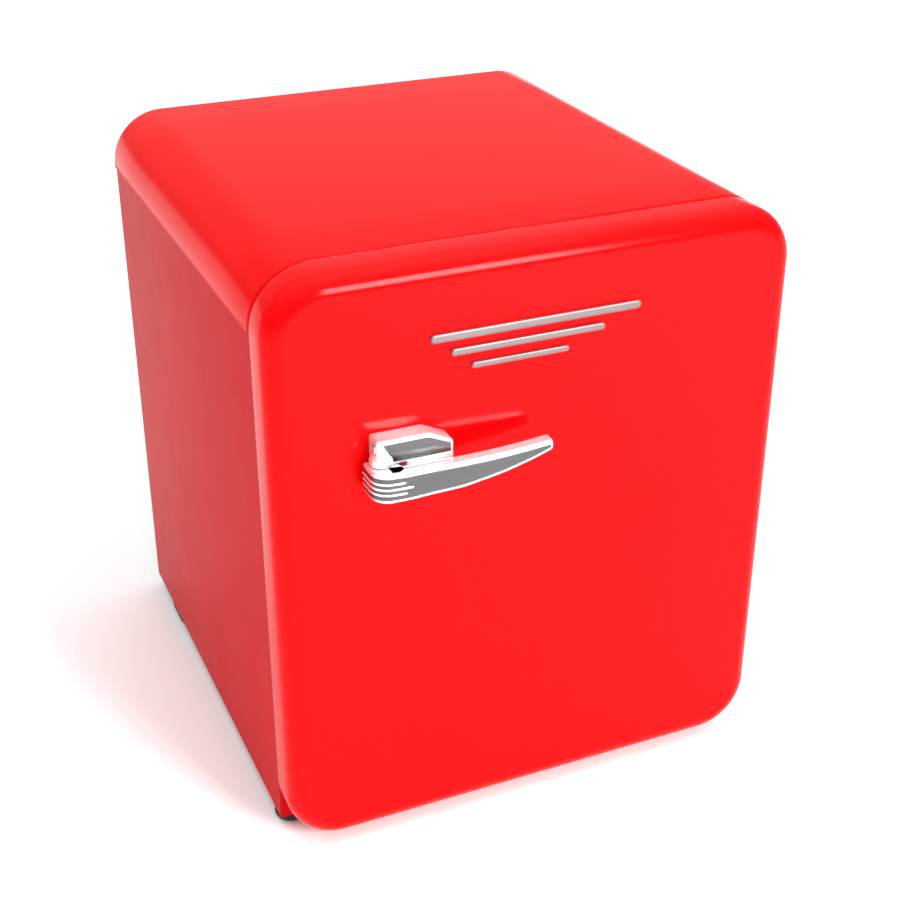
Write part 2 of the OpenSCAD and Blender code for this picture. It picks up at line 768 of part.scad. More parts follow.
// outline of the lever seen from the front, pulled in by g
function lever_outline(g) = [
  [drum_x, lever_top - lever_tall + g], [drum_x + 17, lever_top - lever_tall + 0.5 + g],
  [drum_x + 55, lever_top - 21.8 + g], [drum_x + 89, lever_top - 17 + g],
  [drum_x + 114, lever_top - 12.2 + g], [pivot_x + lever_len - g, lever_top - 8 + 0.6 * g],
  [pivot_x + lever_len - g, lever_top - g], [drum_x, lever_top - g]
];

// curved plate between two radii of the lever's bow
module bow(r0, r1) translate([bow_x, bow_s, lever_top - 40]) difference() {
  cylinder(r = r1, h = 60, $fn = 720);
  translate([0, 0, -1]) cylinder(r = r0, h = 62, $fn = 720);
}

// flat slab of the lever's outline from x0 to its tip
module lever_slab(g, x0) intersection() {
  along_y(0, handle_reach + 10) polygon(lever_outline(g));
  span([x0, 0, 0], [half_w, 60, z_top]);
}

module handle_base() color(c_chrome) on_door() difference() {
  low = lever_top + 1.5;
  union() {
    along_y(0, base_s) polygon([[base_x0, low], [base_x1, low], [base_x1, lever_top + 11.5],
      [base_x1 - 20, base_top], [base_x0, base_top]]);
    translate([pivot_x + 1, pivot_s + 2, low]) cylinder(r = 10, h = 8);
    span([wrap_x + 6, 0, lug_z], [base_x1, base_s - 0.3, low + 1]);
    at_pivot() translate([0, 0, lug_z]) cylinder(r = 5, h = 3.4);
    span([pivot_x, pivot_s - 5, lug_z], [wrap_x + 7, pivot_s + 1, lug_z + 3.4]);
  }
  at_pivot() translate([0, 0, lug_z - 1]) cylinder(r = lever_pin_r, h = lever_top + 13 - lug_z);
  translate([0, base_s, 0]) along_y(-0.6, 1) base_plate_outline();
  for (x = handle_screw_x)
    translate([x, -1, lug_z + 14]) rotate([-90, 0, 0]) cylinder(r = 2.4, h = 9);
}

// face of the brushed plate on the handle's base
module base_plate_outline() polygon([[base_x0 + 13.5, lever_top + 2.7],
  [base_x1 - 2.5, lever_top + 2.7], [base_x1 - 2.5, lever_top + 9.7],
  [base_x1 - 20.5, base_top - 3.2], [base_x0 + 5, base_top - 3.2]]);

module handle_plate() color(c_steel) on_door() translate([0, base_s, 0])
  along_y(-0.6, 0.3) base_plate_outline();

// screws run from inside the door into the handle's base, along +Z of their own places
module handle_screw_places() on_door()
  for (x = handle_screw_x) translate([x, 0, lug_z + 14]) rotate([-90, 0, 0]) children();

module handle_screws() color(c_zinc) handle_screw_places() {
  translate([0, 0, -6]) cylinder(r = 2.4, h = 14);
  translate([0, 0, -8]) cylinder(r = 5, h = 2.5);
}

module lever() color(c_chrome) on_door() difference() {
  z0 = lever_top - lever_tall;
  union() {
    translate([drum_x, drum_s, z0]) cylinder(r = drum_r, h = lever_tall);
    span([drum_x - drum_r, wrap_s, z0], [wrap_x, drum_s, lever_top]);
    for (i = [1 : 3]) translate([drum_x, drum_s, z0 + 6 * i - 0.8])
      cylinder(r = drum_r + 0.6, h = 1.6);
    intersection() {
      bow(bow_r - bow_t, bow_r);
      lever_slab(0, drum_x);
    }
  }
  at_pivot() translate([0, 0, z0 - 1]) cylinder(r = lever_pin_r + 0.05, h = lever_tall + 2);
  at_pivot() translate([0, 0, z0 + 5]) cylinder(r = 7, h = 13);
  intersection() {
    bow(bow_r - 0.6, bow_r + 3);
    lever_slab(2.2, pivot_x + 17);
  }
}

module lever_plate() color(c_steel) on_door() intersection() {
  bow(bow_r - 0.6, bow_r + 0.8);
  lever_slab(2.3, pivot_x + 17.1);
}

module lever_pin() color(c_steel) on_door() at_pivot() translate([0, 0, lug_z + 0.4])
  cylinder(r = lever_pin_r, h = lever_top - lug_z + 11);

module lever_spring() color(c_zinc) on_door() at_pivot() for (i = [0 : 4])
  translate([0, 0, lever_top - lever_tall + 7 + 2.2 * i]) rotate_extrude() translate([5, 0]) circle(0.9);

top_cover();
side_panel_left();
side_panel_right();
base_pan();
compressor_tray();
bay_panel();
back_panel();
foam_core();
inner_liner();
evaporator();
evaporator_screws();
tray_runners();
thermostat_housing();
thermostat_sensor();
glass_shelf();
shelf_trims();
condenser_tube();
condenser_wires();
condenser_clips();
compressor_lower_shell();
compressor_upper_shell();
compressor_motor();
compressor_mount();
compressor_grommets();
compressor_bolts();
relay_cover();
discharge_pipe();
suction_pipe();
filter_drier();
capillary_tube();
cable_gland();
upper_hinge();
lower_hinge();
hinge_pins();
hinge_screws();
foot_inserts();
rear_feet();
front_foot_left();
front_foot_right();
freezer_flap();
drip_tray();
thermostat_knob();
thermostat_spindle();
door_skin();
door_foam();
door_liner();
door_gasket();
door_bushes();
upper_rack();
lower_rack();
rack_rail();
badge_bars();
handle_base();
handle_plate();
handle_screws();
lever();
lever_plate();
lever_pin();
lever_spring();
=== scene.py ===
import json
from math import cos, hypot, pi, radians, sin, sqrt

import bmesh
import bpy
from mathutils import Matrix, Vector

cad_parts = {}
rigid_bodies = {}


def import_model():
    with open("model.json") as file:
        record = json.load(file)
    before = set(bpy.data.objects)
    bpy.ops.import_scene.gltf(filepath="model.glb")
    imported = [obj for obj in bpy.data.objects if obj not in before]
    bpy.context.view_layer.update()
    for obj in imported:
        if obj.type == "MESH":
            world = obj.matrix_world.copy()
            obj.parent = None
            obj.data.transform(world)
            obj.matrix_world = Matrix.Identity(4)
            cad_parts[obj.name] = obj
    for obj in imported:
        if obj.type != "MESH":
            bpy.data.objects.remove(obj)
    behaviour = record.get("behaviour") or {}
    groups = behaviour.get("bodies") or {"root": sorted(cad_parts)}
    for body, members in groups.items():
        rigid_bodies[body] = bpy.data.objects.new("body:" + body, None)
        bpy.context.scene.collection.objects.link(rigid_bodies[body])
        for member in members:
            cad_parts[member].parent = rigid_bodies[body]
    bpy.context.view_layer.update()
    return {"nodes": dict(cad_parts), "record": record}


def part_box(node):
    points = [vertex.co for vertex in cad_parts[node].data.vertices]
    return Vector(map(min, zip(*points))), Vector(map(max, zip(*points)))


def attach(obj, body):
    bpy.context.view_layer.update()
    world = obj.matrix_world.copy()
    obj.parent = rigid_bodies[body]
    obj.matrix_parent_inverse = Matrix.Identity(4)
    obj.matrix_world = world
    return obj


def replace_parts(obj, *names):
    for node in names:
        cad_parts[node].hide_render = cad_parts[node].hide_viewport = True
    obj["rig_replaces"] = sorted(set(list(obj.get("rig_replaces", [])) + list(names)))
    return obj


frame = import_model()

MM = 0.001
scene = bpy.context.scene

# ---- camera
CAMERA_AT = (-0.4928, -1.1659, 0.9107)
CAMERA_AIM = (-0.0792, -0.2155, 0.3576)
CAMERA_LENS = 61.94

camera = bpy.data.objects.new("camera", bpy.data.cameras.new("camera"))
scene.collection.objects.link(camera)
camera.location = CAMERA_AT
camera.rotation_euler = (Vector(CAMERA_AIM) - Vector(CAMERA_AT)).to_track_quat("-Z", "Y").to_euler()
camera.data.lens = CAMERA_LENS
camera.data.sensor_width = 36
camera.data.clip_end = 60
scene.camera = camera
scene.view_settings.view_transform = "Standard"

# ---- sizes in mm, from the frame


def lo(node):
    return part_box(node)[0] / MM


def hi(node):
    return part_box(node)[1] / MM


def corners(node):
    return lo(node), hi(node)


def middle(node):
    return (lo(node) + hi(node)) / 2


HALF_W = hi("top_cover").x
Z_TOP = hi("top_cover").z
LIP_Z = lo("top_cover").z
Y_FRONT = lo("top_cover").y
Y_BACK = hi("top_cover").y
Z_BOT = lo("side_panel_left").z
DOOR_REAR = hi("door_skin").y
DOOR_FACE = lo("door_skin").y
DOOR_Z0 = lo("door_skin").z
CORNER_R = 48
CROWN_R = 17
SHEET = 0.8
FLANGE = 24


# ---- materials

class Nodes:
    """Small helper around one material's node tree."""

    def __init__(self, name):
        self.mat = bpy.data.materials.new(name)
        self.mat.use_nodes = True
        self.tree = self.mat.node_tree
        self.shader = self.tree.nodes["Principled BSDF"]
        self.coords = self.tree.nodes.new("ShaderNodeTexCoord").outputs["Object"]

    def node(self, kind, **values):
        n = self.tree.nodes.new("ShaderNode" + kind)
        for key, value in values.items():
            setattr(n, key, value)
        return n

    def link(self, a, b):
        self.tree.links.new(a, b)

    def noise(self, scale, stretch=(1, 1, 1), detail=3.0, rough=0.55):
        mapping = self.node("Mapping")
        mapping.inputs["Scale"].default_value = stretch
        self.link(self.coords, mapping.inputs["Vector"])
        noise = self.node("TexNoise")
        noise.inputs["Scale"].default_value = scale
        noise.inputs["Detail"].default_value = detail
        noise.inputs["Roughness"].default_value = rough
        self.link(mapping.outputs["Vector"], noise.inputs["Vector"])
        return noise.outputs["Fac"]

    def ramp(self, fac, stops):
        ramp = self.node("ValToRGB")
        elements = ramp.color_ramp.elements
        while len(elements) < len(stops):
            elements.new(0.5)
        for element, (at, colour) in zip(elements, stops):
            element.position = at
            element.color = (*colour, 1)
        self.link(fac, ramp.inputs["Fac"])
        return ramp.outputs["Color"]

    def spread(self, fac, low, high):
        span = self.node("MapRange")
        span.inputs["From Min"].default_value = 0.3
        span.inputs["From Max"].default_value = 0.7
        span.inputs["To Min"].default_value = low
        span.inputs["To Max"].default_value = high
        self.link(fac, span.inputs["Value"])
        return span.outputs["Result"]

    def bump(self, fac, strength, distance, under=None):
        bump = self.node("Bump")
        bump.inputs["Strength"].default_value = strength
        bump.inputs["Distance"].default_value = distance
        self.link(fac, bump.inputs["Height"])
        if under is not None:
            self.link(under, bump.inputs["Normal"])
        return bump.outputs["Normal"]

    def set(self, **values):
        for key, value in values.items():
            self.shader.inputs[key.replace("_", " ")].default_value = value
        return self


def shade(colour, factor):
    return tuple(min(1.0, c * factor) for c in colour)


def surface(name, colour, rough, metallic=0.0, ior=1.45, vary=0.08, vary_scale=14, rough_by=0.06,
            grain=900, grain_by=0.15, grain_depth=0.00005, stretch=(1, 1, 1), **sockets):
    """Material with slow colour drift, uneven gloss and a fine grain in its normals."""
    m = Nodes(name)
    m.set(Metallic=metallic, IOR=ior, **sockets)
    drift = m.noise(vary_scale)
    m.link(m.ramp(drift, [(0.3, shade(colour, 1 - vary)), (0.7, shade(colour, 1 + vary))]),
           m.shader.inputs["Base Color"])
    m.link(m.spread(m.noise(vary_scale * 3, detail=5), max(0.02, rough - rough_by), rough + rough_by),
           m.shader.inputs["Roughness"])
    m.link(m.bump(m.noise(grain, stretch), grain_by, grain_depth), m.shader.inputs["Normal"])
    return m.mat


def enamel(name, colour, rough, ior, peel):
    """Sprayed enamel: faint orange peel over a slow drift of depth in the colour."""
    m = Nodes(name)
    m.set(IOR=ior, Metallic=0.0)
    m.link(m.ramp(m.noise(6), [(0.3, shade(colour, 0.97)), (0.7, shade(colour, 1.03))]),
           m.shader.inputs["Base Color"])
    m.link(m.spread(m.noise(25, detail=6), rough * 0.95, rough * 1.06), m.shader.inputs["Roughness"])
    fine = m.bump(m.noise(1400, detail=1), peel * 0.4, 0.00003)
    m.link(m.bump(m.noise(260, detail=1.5), peel, 0.00008, fine), m.shader.inputs["Normal"])
    return m.mat


def brushed(name, colour, rough, stretch):
    """Metal brushed along one axis: long streaks in colour, gloss and normals."""
    m = Nodes(name)
    m.set(Metallic=1.0, Anisotropic=0.5)
    streak = m.noise(60, stretch, detail=6, rough=0.7)
    m.link(m.ramp(streak, [(0.25, shade(colour, 0.82)), (0.75, shade(colour, 1.15))]),
           m.shader.inputs["Base Color"])
    m.link(m.spread(streak, rough - 0.08, rough + 0.1), m.shader.inputs["Roughness"])
    m.link(m.bump(streak, 0.25, 0.00005), m.shader.inputs["Normal"])
    return m.mat


def foam_material(name):
    """Cells of rigid foam."""
    m = Nodes(name)
    m.set(Roughness=0.9)
    cells = m.node("TexVoronoi")
    cells.inputs["Scale"].default_value = 420
    m.link(m.coords, cells.inputs["Vector"])
    m.link(m.ramp(cells.outputs["Distance"], [(0.1, (0.55, 0.4, 0.17)), (0.6, (0.82, 0.68, 0.4))]),
           m.shader.inputs["Base Color"])
    m.link(m.bump(cells.outputs["Distance"], 0.6, 0.0006), m.shader.inputs["Normal"])
    return m.mat


def glass_material(name):
    """Tempered glass, thin enough to let most light straight through."""
    m = Nodes(name)
    m.set(Transmission_Weight=1.0, IOR=1.5, Alpha=0.35)
    m.link(m.ramp(m.noise(9), [(0.3, (0.86, 0.95, 0.92)), (0.7, (0.92, 0.98, 0.96))]),
           m.shader.inputs["Base Color"])
    m.link(m.spread(m.noise(40, detail=6), 0.0, 0.05), m.shader.inputs["Roughness"])
    return m.mat


RED = (0.84, 0.0009, 0.0018)
MAT = {name: make(name, *values, **more) for name, make, values, more in (
    ("red_enamel", enamel, (RED, 0.15, 1.17, 0.05), {}),
    # side panels: matte red paint whose base colour is set darker than the door's red, partly a duller
    # paint and partly painted shade for the sides turned away from the lamps
    ("red_side_paint", enamel, ((0.585, 0.004, 0.007), 0.38, 1.105, 0.12), {}),
    ("zinc_steel", surface, ((0.50, 0.52, 0.53), 0.38, 1.0),
     dict(vary=0.18, vary_scale=45, rough_by=0.1, grain=300, grain_by=0.2)),
    ("foam", foam_material, (), {}),
    ("white_liner", surface, ((0.80, 0.81, 0.80), 0.32), dict(vary=0.02, grain=1500, grain_by=0.12)),
    ("evaporator_alu", surface, ((0.72, 0.74, 0.76), 0.36, 1.0),
     dict(vary=0.06, grain=500, grain_by=0.12, stretch=(1, 8, 1))),
    ("flap_plastic", surface, ((0.66, 0.74, 0.80), 0.28), dict(vary=0.03, grain=700)),
    ("knob_plastic", surface, ((0.78, 0.78, 0.76), 0.3), dict(vary=0.02, grain=1200)),
    ("bright_steel", surface, ((0.62, 0.62, 0.62), 0.2, 1.0), dict(vary=0.08, grain=1400)),
    ("shelf_glass", glass_material, (), {}),
    ("black_paint", surface, ((0.016, 0.016, 0.017), 0.34),
     dict(vary=0.3, grain=600, grain_by=0.3, grain_depth=0.0001)),
    ("motor_copper", surface, ((0.42, 0.17, 0.08), 0.35, 1.0), dict(vary=0.2, grain=700)),
    ("black_rubber", surface, ((0.022, 0.022, 0.022), 0.75), dict(vary=0.25, grain=1100)),
    ("black_plastic", surface, ((0.02, 0.02, 0.021), 0.45), dict(vary=0.2, grain=1600, grain_by=0.3)),
    ("copper_pipe", surface, ((0.72, 0.33, 0.19), 0.26, 1.0), dict(vary=0.22, vary_scale=60, rough_by=0.1)),
    ("gasket", surface, ((0.07, 0.006, 0.007), 0.6), dict(vary=0.1, grain=1300)),
    ("bush_plastic", surface, ((0.75, 0.75, 0.72), 0.4), dict(vary=0.03)),
    ("chrome_trim", surface, ((0.93, 0.94, 0.95), 0.09, 0.62),
     dict(ior=1.9, vary=0.015, rough_by=0.025, grain=200, grain_by=0.015)),
    ("brushed_inlay", brushed, ((0.125, 0.128, 0.13), 0.32, (0.08, 6, 6)), {}),
    ("badge_metal", surface, ((0.24, 0.20, 0.20), 0.45, 1.0), dict(vary=0.05, grain=900)),
    ("black_ink", surface, ((0.03, 0.03, 0.035), 0.5), dict(vary=0.1)),
)}
SLOT_OF = {row["node"]: row["material_slot"] for row in frame["record"]["subparts"]}
BODY_OF = {n: body for body, ns in frame["record"]["behaviour"]["bodies"].items() for n in ns}


# ---- mesh toolkit

class Build:
    """Collects shapes for one piece, in millimetres in the shared frame."""

    def __init__(self):
        self.bm = bmesh.new()

    def take(self, part, recalc=True):
        if recalc:
            bmesh.ops.recalc_face_normals(part, faces=part.faces)
        mesh = bpy.data.meshes.new("part")
        part.to_mesh(mesh)
        part.free()
        self.bm.from_mesh(mesh)
        bpy.data.meshes.remove(mesh)

    def box(self, a, b, bevel=0.0, segments=2):
        part = bmesh.new()
        bmesh.ops.create_cube(part, size=1)
        size = [b[i] - a[i] for i in range(3)]
        for v in part.verts:
            v.co = Vector([(a[i] + b[i]) / 2 + v.co[i] * size[i] for i in range(3)])
        if bevel:
            bmesh.ops.bevel(part, geom=part.edges[:], offset=min(bevel, min(size) * 0.49),
                            segments=segments, profile=0.5, affect="EDGES")
        self.take(part)

    def prism(self, outline, depth, place, bevel=0.0, segments=2):
        """Flat outline (u, v) thickened by depth along w; place maps (u, v, w) to the frame."""
        part = bmesh.new()
        low = [part.verts.new((u, v, 0)) for u, v in outline]
        high = [part.verts.new((u, v, depth)) for u, v in outline]
        part.faces.new(low)
        part.faces.new(high)
        n = len(outline)
        for i in range(n):
            part.faces.new((low[i], low[(i + 1) % n], high[(i + 1) % n], high[i]))
        bmesh.ops.recalc_face_normals(part, faces=part.faces)
        if bevel:
            sharp = [e for e in part.edges if e.calc_face_angle(0) > 0.6]
            bmesh.ops.bevel(part, geom=sharp, offset=bevel, segments=segments, profile=0.5,
                            affect="EDGES", clamp_overlap=True)
        for v in part.verts:
            v.co = Vector(place(*v.co))
        self.take(part)

    def rings(self, rings, around=True, along=False):
        """Skin over rings of equal length; around closes each ring, along joins last to first."""
        part = bmesh.new()
        rows = [[part.verts.new(p) for p in ring] for ring in rings]
        n = len(rings[0])
        last = len(rows) if along else len(rows) - 1
        for j in range(last):
            a, b = rows[j], rows[(j + 1) % len(rows)]
            for i in range(n if around else n - 1):
                part.faces.new((a[i], a[(i + 1) % n], b[(i + 1) % n], b[i]))
        if not along:
            part.faces.new(rows[0])
            part.faces.new(rows[-1])
        if not around:
            part.faces.new([row[0] for row in rows])
            part.faces.new([row[-1] for row in rows])
        self.take(part)

    def lathe(self, profile, at, axis="Z", segments=48):
        """Turns a closed profile of (radius, height) about an axis through at."""
        spin = {"X": lambda r, a, h: (h, r * cos(a), r * sin(a)),
                "Y": lambda r, a, h: (r * sin(a), h, r * cos(a)),
                "Z": lambda r, a, h: (r * cos(a), r * sin(a), h)}[axis]
        part = bmesh.new()
        rows = []
        for r, h in profile:
            if r < 1e-4:
                rows.append([part.verts.new(Vector(at) + Vector(spin(0, 0, h)))])
            else:
                rows.append([part.verts.new(Vector(at) + Vector(spin(r, 2 * pi * i / segments, h)))
                             for i in range(segments)])
        for a, b in zip(rows, rows[1:] + rows[:1]):
            for i in range(segments):
                k = (i + 1) % segments
                quad = [a[i % len(a)], a[k % len(a)], b[k % len(b)], b[i % len(b)]]
                quad = [v for j, v in enumerate(quad) if v not in quad[:j]]
                if len(quad) > 2:
                    part.faces.new(quad)
        self.take(part)

    def tube(self, points, radius, bend=0.0, sides=14):
        """Round bar along a path whose corners are rounded to radius bend."""
        path = round_path(points, bend) if bend else [Vector(p) for p in points]
        rings = []
        side = None
        for i, p in enumerate(path):
            t = (path[min(i + 1, len(path) - 1)] - path[max(i - 1, 0)]).normalized()
            if side is None:
                side = t.orthogonal().normalized()
            side = (side - t * side.dot(t)).normalized()
            up = t.cross(side)
            rings.append([p + (side * cos(a) + up * sin(a)) * radius
                          for a in (2 * pi * k / sides for k in range(sides))])
        self.rings(rings)

    def done(self, name, node):
        """Makes the piece, which stands for the named CAD node and rides with its body."""
        bmesh.ops.remove_doubles(self.bm, verts=self.bm.verts, dist=1e-4)
        bmesh.ops.scale(self.bm, vec=(MM, MM, MM), verts=self.bm.verts)
        mesh = bpy.data.meshes.new(name)
        self.bm.to_mesh(mesh)
        self.bm.free()
        obj = bpy.data.objects.new(name, mesh)
        scene.collection.objects.link(obj)
        mesh.polygons.foreach_set("use_smooth", [True] * len(mesh.polygons))
        mesh.set_sharp_from_angle(angle=radians(35))
        slot = SLOT_OF[node]
        mesh.materials.append(MAT[slot])
        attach(obj, BODY_OF[node])
        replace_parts(obj, node)
        return obj


def round_path(points, bend, steps=7):
    """Points of a path with each corner replaced by an arc-like curve."""
    pts = [Vector(p) for p in points]
    out = [pts[0]]
    for a, b, c in zip(pts, pts[1:], pts[2:]):
        reach = min(bend, (a - b).length * 0.48, (c - b).length * 0.48)
        start = b + (a - b).normalized() * reach
        end = b + (c - b).normalized() * reach
        for i in range(steps + 1):
            t = i / steps
            out.append(start * (1 - t) ** 2 + b * 2 * t * (1 - t) + end * t ** 2)
    return out + [pts[-1]]


def cut(obj, boxes):
    """Cuts boxes, given as (low, high) corners, out of a finished piece."""
    knife = Build()
    for a, b in boxes:
        knife.box(a, b)
    bmesh.ops.scale(knife.bm, vec=(MM, MM, MM), verts=knife.bm.verts)
    mesh = bpy.data.meshes.new("knife")
    knife.bm.to_mesh(mesh)
    tool = bpy.data.objects.new("knife", mesh)
    scene.collection.objects.link(tool)
    mod = obj.modifiers.new("cut", "BOOLEAN")
    mod.object = tool
    mod.operation = "DIFFERENCE"
    mod.solver = "EXACT"
    bpy.context.view_layer.update()
    result = bpy.data.meshes.new_from_object(obj.evaluated_get(bpy.context.evaluated_depsgraph_get()))
    obj.modifiers.clear()
    obj.data = result
    bpy.data.objects.remove(tool)
    return obj


def arc(cx, cy, r, a0, a1, steps):
    return [(cx + r * cos(radians(a0 + (a1 - a0) * i / steps)),
             cy + r * sin(radians(a0 + (a1 - a0) * i / steps))) for i in range(steps + 1)]


def loop(x0, x1, z0, z1, radii, corner=10, side=6):
    """Rounded rectangle as (x, z, outward x, outward z); radii run from bottom right, ccw."""
    spots = [(x1, z0, -90), (x1, z1, 0), (x0, z1, 90), (x0, z0, 180)]
    out = []
    for k, (x, z, a0) in enumerate(spots):
        r = max(radii[k], 1e-6)
        cx = x - r if k in (0, 1) else x + r
        cz = z + r if k in (0, 3) else z - r
        for i in range(corner + 1):
            a = radians(a0 + 90 * i / corner)
            out.append((cx + r * cos(a), cz + r * sin(a), cos(a), sin(a)))
        nx, nz = cos(radians(a0 + 90)), sin(radians(a0 + 90))
        k2 = (k + 1) % 4
        x2, z2, _ = spots[k2]
        r2 = max(radii[k2], 1e-6)
        ex = x2 if k in (0, 2) else (x2 + r2 if k == 1 else x2 - r2)
        ez = z2 if k in (1, 3) else (z2 - r2 if k == 0 else z2 + r2)
        sx, sz = out[-1][:2]
        out += [(sx + (ex - sx) * i / side, sz + (ez - sz) * i / side, nx, nz) for i in range(1, side)]
    return out


def swept(outline, profile, depth_axis="Y"):
    """Rings of points: each profile entry (out, depth) offsets the outline and sets its depth."""
    if depth_axis == "Y":
        return [[(x + nx * o, d, z + nz * o) for x, z, nx, nz in outline] for o, d in profile]
    return [[(x + nx * o, z + nz * o, d) for x, z, nx, nz in outline] for o, d in profile]


def rounded_box(build, a, b, r, edge, floor=None, wall=None):
    """Open bin or solid slab with corner radius r and a small edge radius."""
    outline = loop(a[0], b[0], a[1], b[1], (r, r, r, r), 8, 3)
    z0, z1 = a[2], b[2]
    outer = [(-edge + x, z0 + y) for x, y in arc(0, edge, edge, -90, 0, 4)]
    profile = outer + [(-edge + x, z1 - edge + y) for x, y in arc(0, 0, edge, 0, 90, 4)]
    if wall is None:
        build.rings(swept(outline, profile, "Z"))
        return
    inner = wall + edge
    profile += [(-wall, z1 - edge)] + [(-wall - inner + x, z0 + floor + inner + y)
                                       for x, y in arc(0, 0, inner, 0, -90, 5)]
    build.rings(swept(outline, profile, "Z"))


def turned(outline_axis):
    """Places prism outlines: XZ outlines grow along +Y, YZ along +X, XY along +Z."""
    return {"XZ": lambda at: (lambda u, v, w: (u, at + w, v)),
            "YZ": lambda at: (lambda u, v, w: (at + w, u, v)),
            "XY": lambda at: (lambda u, v, w: (u, v, at + w))}[outline_axis]


def off_door(u, v, w):
    """Outline in x and z, thickened away from the door's face."""
    return u, DOOR_FACE - w, v


def rect(x0, x1, y0, y1, r, steps=5):
    return (arc(x1 - r, y0 + r, r, -90, 0, steps) + arc(x1 - r, y1 - r, r, 0, 90, steps)
            + arc(x0 + r, y1 - r, r, 90, 180, steps) + arc(x0 + r, y0 + r, r, 180, 270, steps))


# ---- cabinet shell

COVER_T = 1.2
FOLD = 2.6
REAR_FLANGE = 14


def arch_path(r, steps=24):
    """The top cover's line from the left lip over the top to the right lip, with normals."""
    left = arc(-HALF_W + r, Z_TOP - r, r, 180, 90, steps)
    right = arc(HALF_W - r, Z_TOP - r, r, 90, 0, steps)
    line = [(-HALF_W, LIP_Z)] + left + [(x, Z_TOP) for x in (-120, -60, 0, 60, 120)] + right
    line.append((HALF_W, LIP_Z))
    out = []
    for x, z in line:
        dx = x - max(-HALF_W + r, min(HALF_W - r, x))
        dz = max(0, z - (Z_TOP - r))
        length = hypot(dx, dz)
        out.append((x, z, dx / length, dz / length))
    return out


def fold_profile(t, front, back, r, front_in, back_in):
    """Closed (out, y) section of a sheet folded inwards at both ends."""
    outer = ([(-front_in, front)] + arc(-r, front + r, r, -90, 0, 5)
             + [(0, front + (back - front) * i / 6) for i in range(1, 6)]
             + arc(-r, back - r, r, 0, 90, 5) + [(-back_in, back)])
    inner = ([(-back_in, back - t)] + arc(-r, back - r, r - t, 90, 0, 5)
             + arc(-r, front + r, r - t, 0, -90, 5) + [(-front_in, front + t)])
    return outer + inner


b = Build()
b.rings(swept(arch_path(CORNER_R), fold_profile(COVER_T, Y_FRONT, Y_BACK, FOLD, FLANGE, REAR_FLANGE)),
        around=False, along=True)
for s in (-1, 1):
    b.tube([(s * (HALF_W - 0.5), Y_FRONT + 3, LIP_Z + 0.9), (s * (HALF_W - 0.5), Y_BACK - 3, LIP_Z + 0.9)],
           0.9, sides=10)
b.done("red_top_cover", "top_cover")

PANEL_X = HALF_W - COVER_T - 0.1
hinge_nodes = ("lower_hinge", "upper_hinge")
hinge_z = [middle(n).z for n in hinge_nodes]
HINGE_X, HINGE_Y, _ = middle("hinge_pins")
ARM_T = 3
for side, s in (("left", -1), ("right", 1)):
    b = Build()
    r = 2.0
    edge_in = HALF_W - FLANGE
    outline = ([(edge_in, Y_FRONT)] + arc(PANEL_X - r, Y_FRONT + r, r, -90, 0, 5)
               + arc(PANEL_X - r, Y_BACK - r, r, 0, 90, 5) + [(PANEL_X - 13, Y_BACK)]
               + [(PANEL_X - 13, Y_BACK - SHEET)] + arc(PANEL_X - r, Y_BACK - r, r - SHEET, 90, 0, 5)
               + arc(PANEL_X - r, Y_FRONT + r, r - SHEET, 0, -90, 5) + [(edge_in, Y_FRONT + SHEET)])
    b.prism([(s * x, y) for x, y in outline], LIP_Z - 0.2 - Z_BOT, turned("XY")(Z_BOT))
    panel = b.done(f"side_sheet_{side}", f"side_panel_{side}")
    if s > 0:
        cut(panel, [((HINGE_X - 2.5, Y_FRONT - 1, z - 1.8), (HALF_W - 3.7, Y_FRONT + 2, z + 1.8))
                    for z in hinge_z])

b = Build()
flange_low = hi("base_pan").z
y_bay = hi("base_pan").y
r = 2.0
outline = ([(Y_FRONT, flange_low)] + arc(Y_FRONT + r, Z_BOT + r, r, 180, 270, 5) + [(y_bay, Z_BOT)]
           + [(y_bay, Z_BOT + 1)] + arc(Y_FRONT + r, Z_BOT + r, r - 1, 270, 180, 5)
           + [(Y_FRONT + 1, flange_low)])
wide = HALF_W - FLANGE - 0.2
b.prism(outline, 2 * wide, turned("YZ")(-wide))
for s in (-1, 1):
    x = s * (HALF_W - 2.3)
    b.box((min(x, x - s * 22), Y_FRONT + 1.2, Z_BOT), (max(x, x - s * 22), y_bay, Z_BOT + 1), 0.3)
    b.box((min(x, x - s * SHEET), Y_FRONT + 1.2, Z_BOT), (max(x, x - s * SHEET), y_bay, Z_BOT + 14), 0.2)
for x in (-110, 0, 110):
    b.tube([(x, Y_FRONT + 30, Z_BOT - 0.1), (x, y_bay - 14, Z_BOT - 0.1)], 1.6, sides=12)
b.done("base_sheet", "base_pan")

# ---- liner of the cabinet

SPACE_X = 182.0
Z_FLOOR = 50.0
Z_ROOF = 472.0
Z_HUMP = 212.0
Y_HUMP = 74.5
Y_LINER = 189.5
LINER_R = 12.0
LINER_T = 1.5
LIP_IN = 3.0

part = bmesh.new()
stations = [(Y_FRONT + LIP_IN, Z_FLOOR), (Y_HUMP, Z_FLOOR), (Y_HUMP, Z_HUMP), (Y_LINER, Z_HUMP),
            (Y_LINER, Z_ROOF), (Y_FRONT + LIP_IN, Z_ROOF)]
rows = [[part.verts.new((s * SPACE_X, y, z)) for y, z in stations] for s in (-1, 1)]
part.faces.new(rows[0])
part.faces.new(rows[1])
for i in range(6):
    k = (i + 1) % 6
    part.faces.new((rows[0][i], rows[0][k], rows[1][k], rows[1][i]))
bmesh.ops.recalc_face_normals(part, faces=part.faces)
rim = Y_FRONT + LIP_IN
front = [f for f in part.faces if all(abs(v.co.y - rim) < 1e-3 for v in f.verts)]
keep = set(front[0].edges)
bmesh.ops.bevel(part, geom=[e for e in part.edges if e not in keep], offset=LINER_R, segments=7,
                profile=0.5, affect="EDGES")
front = [f for f in part.faces if all(abs(v.co.y - rim) < 1e-3 for v in f.verts)]
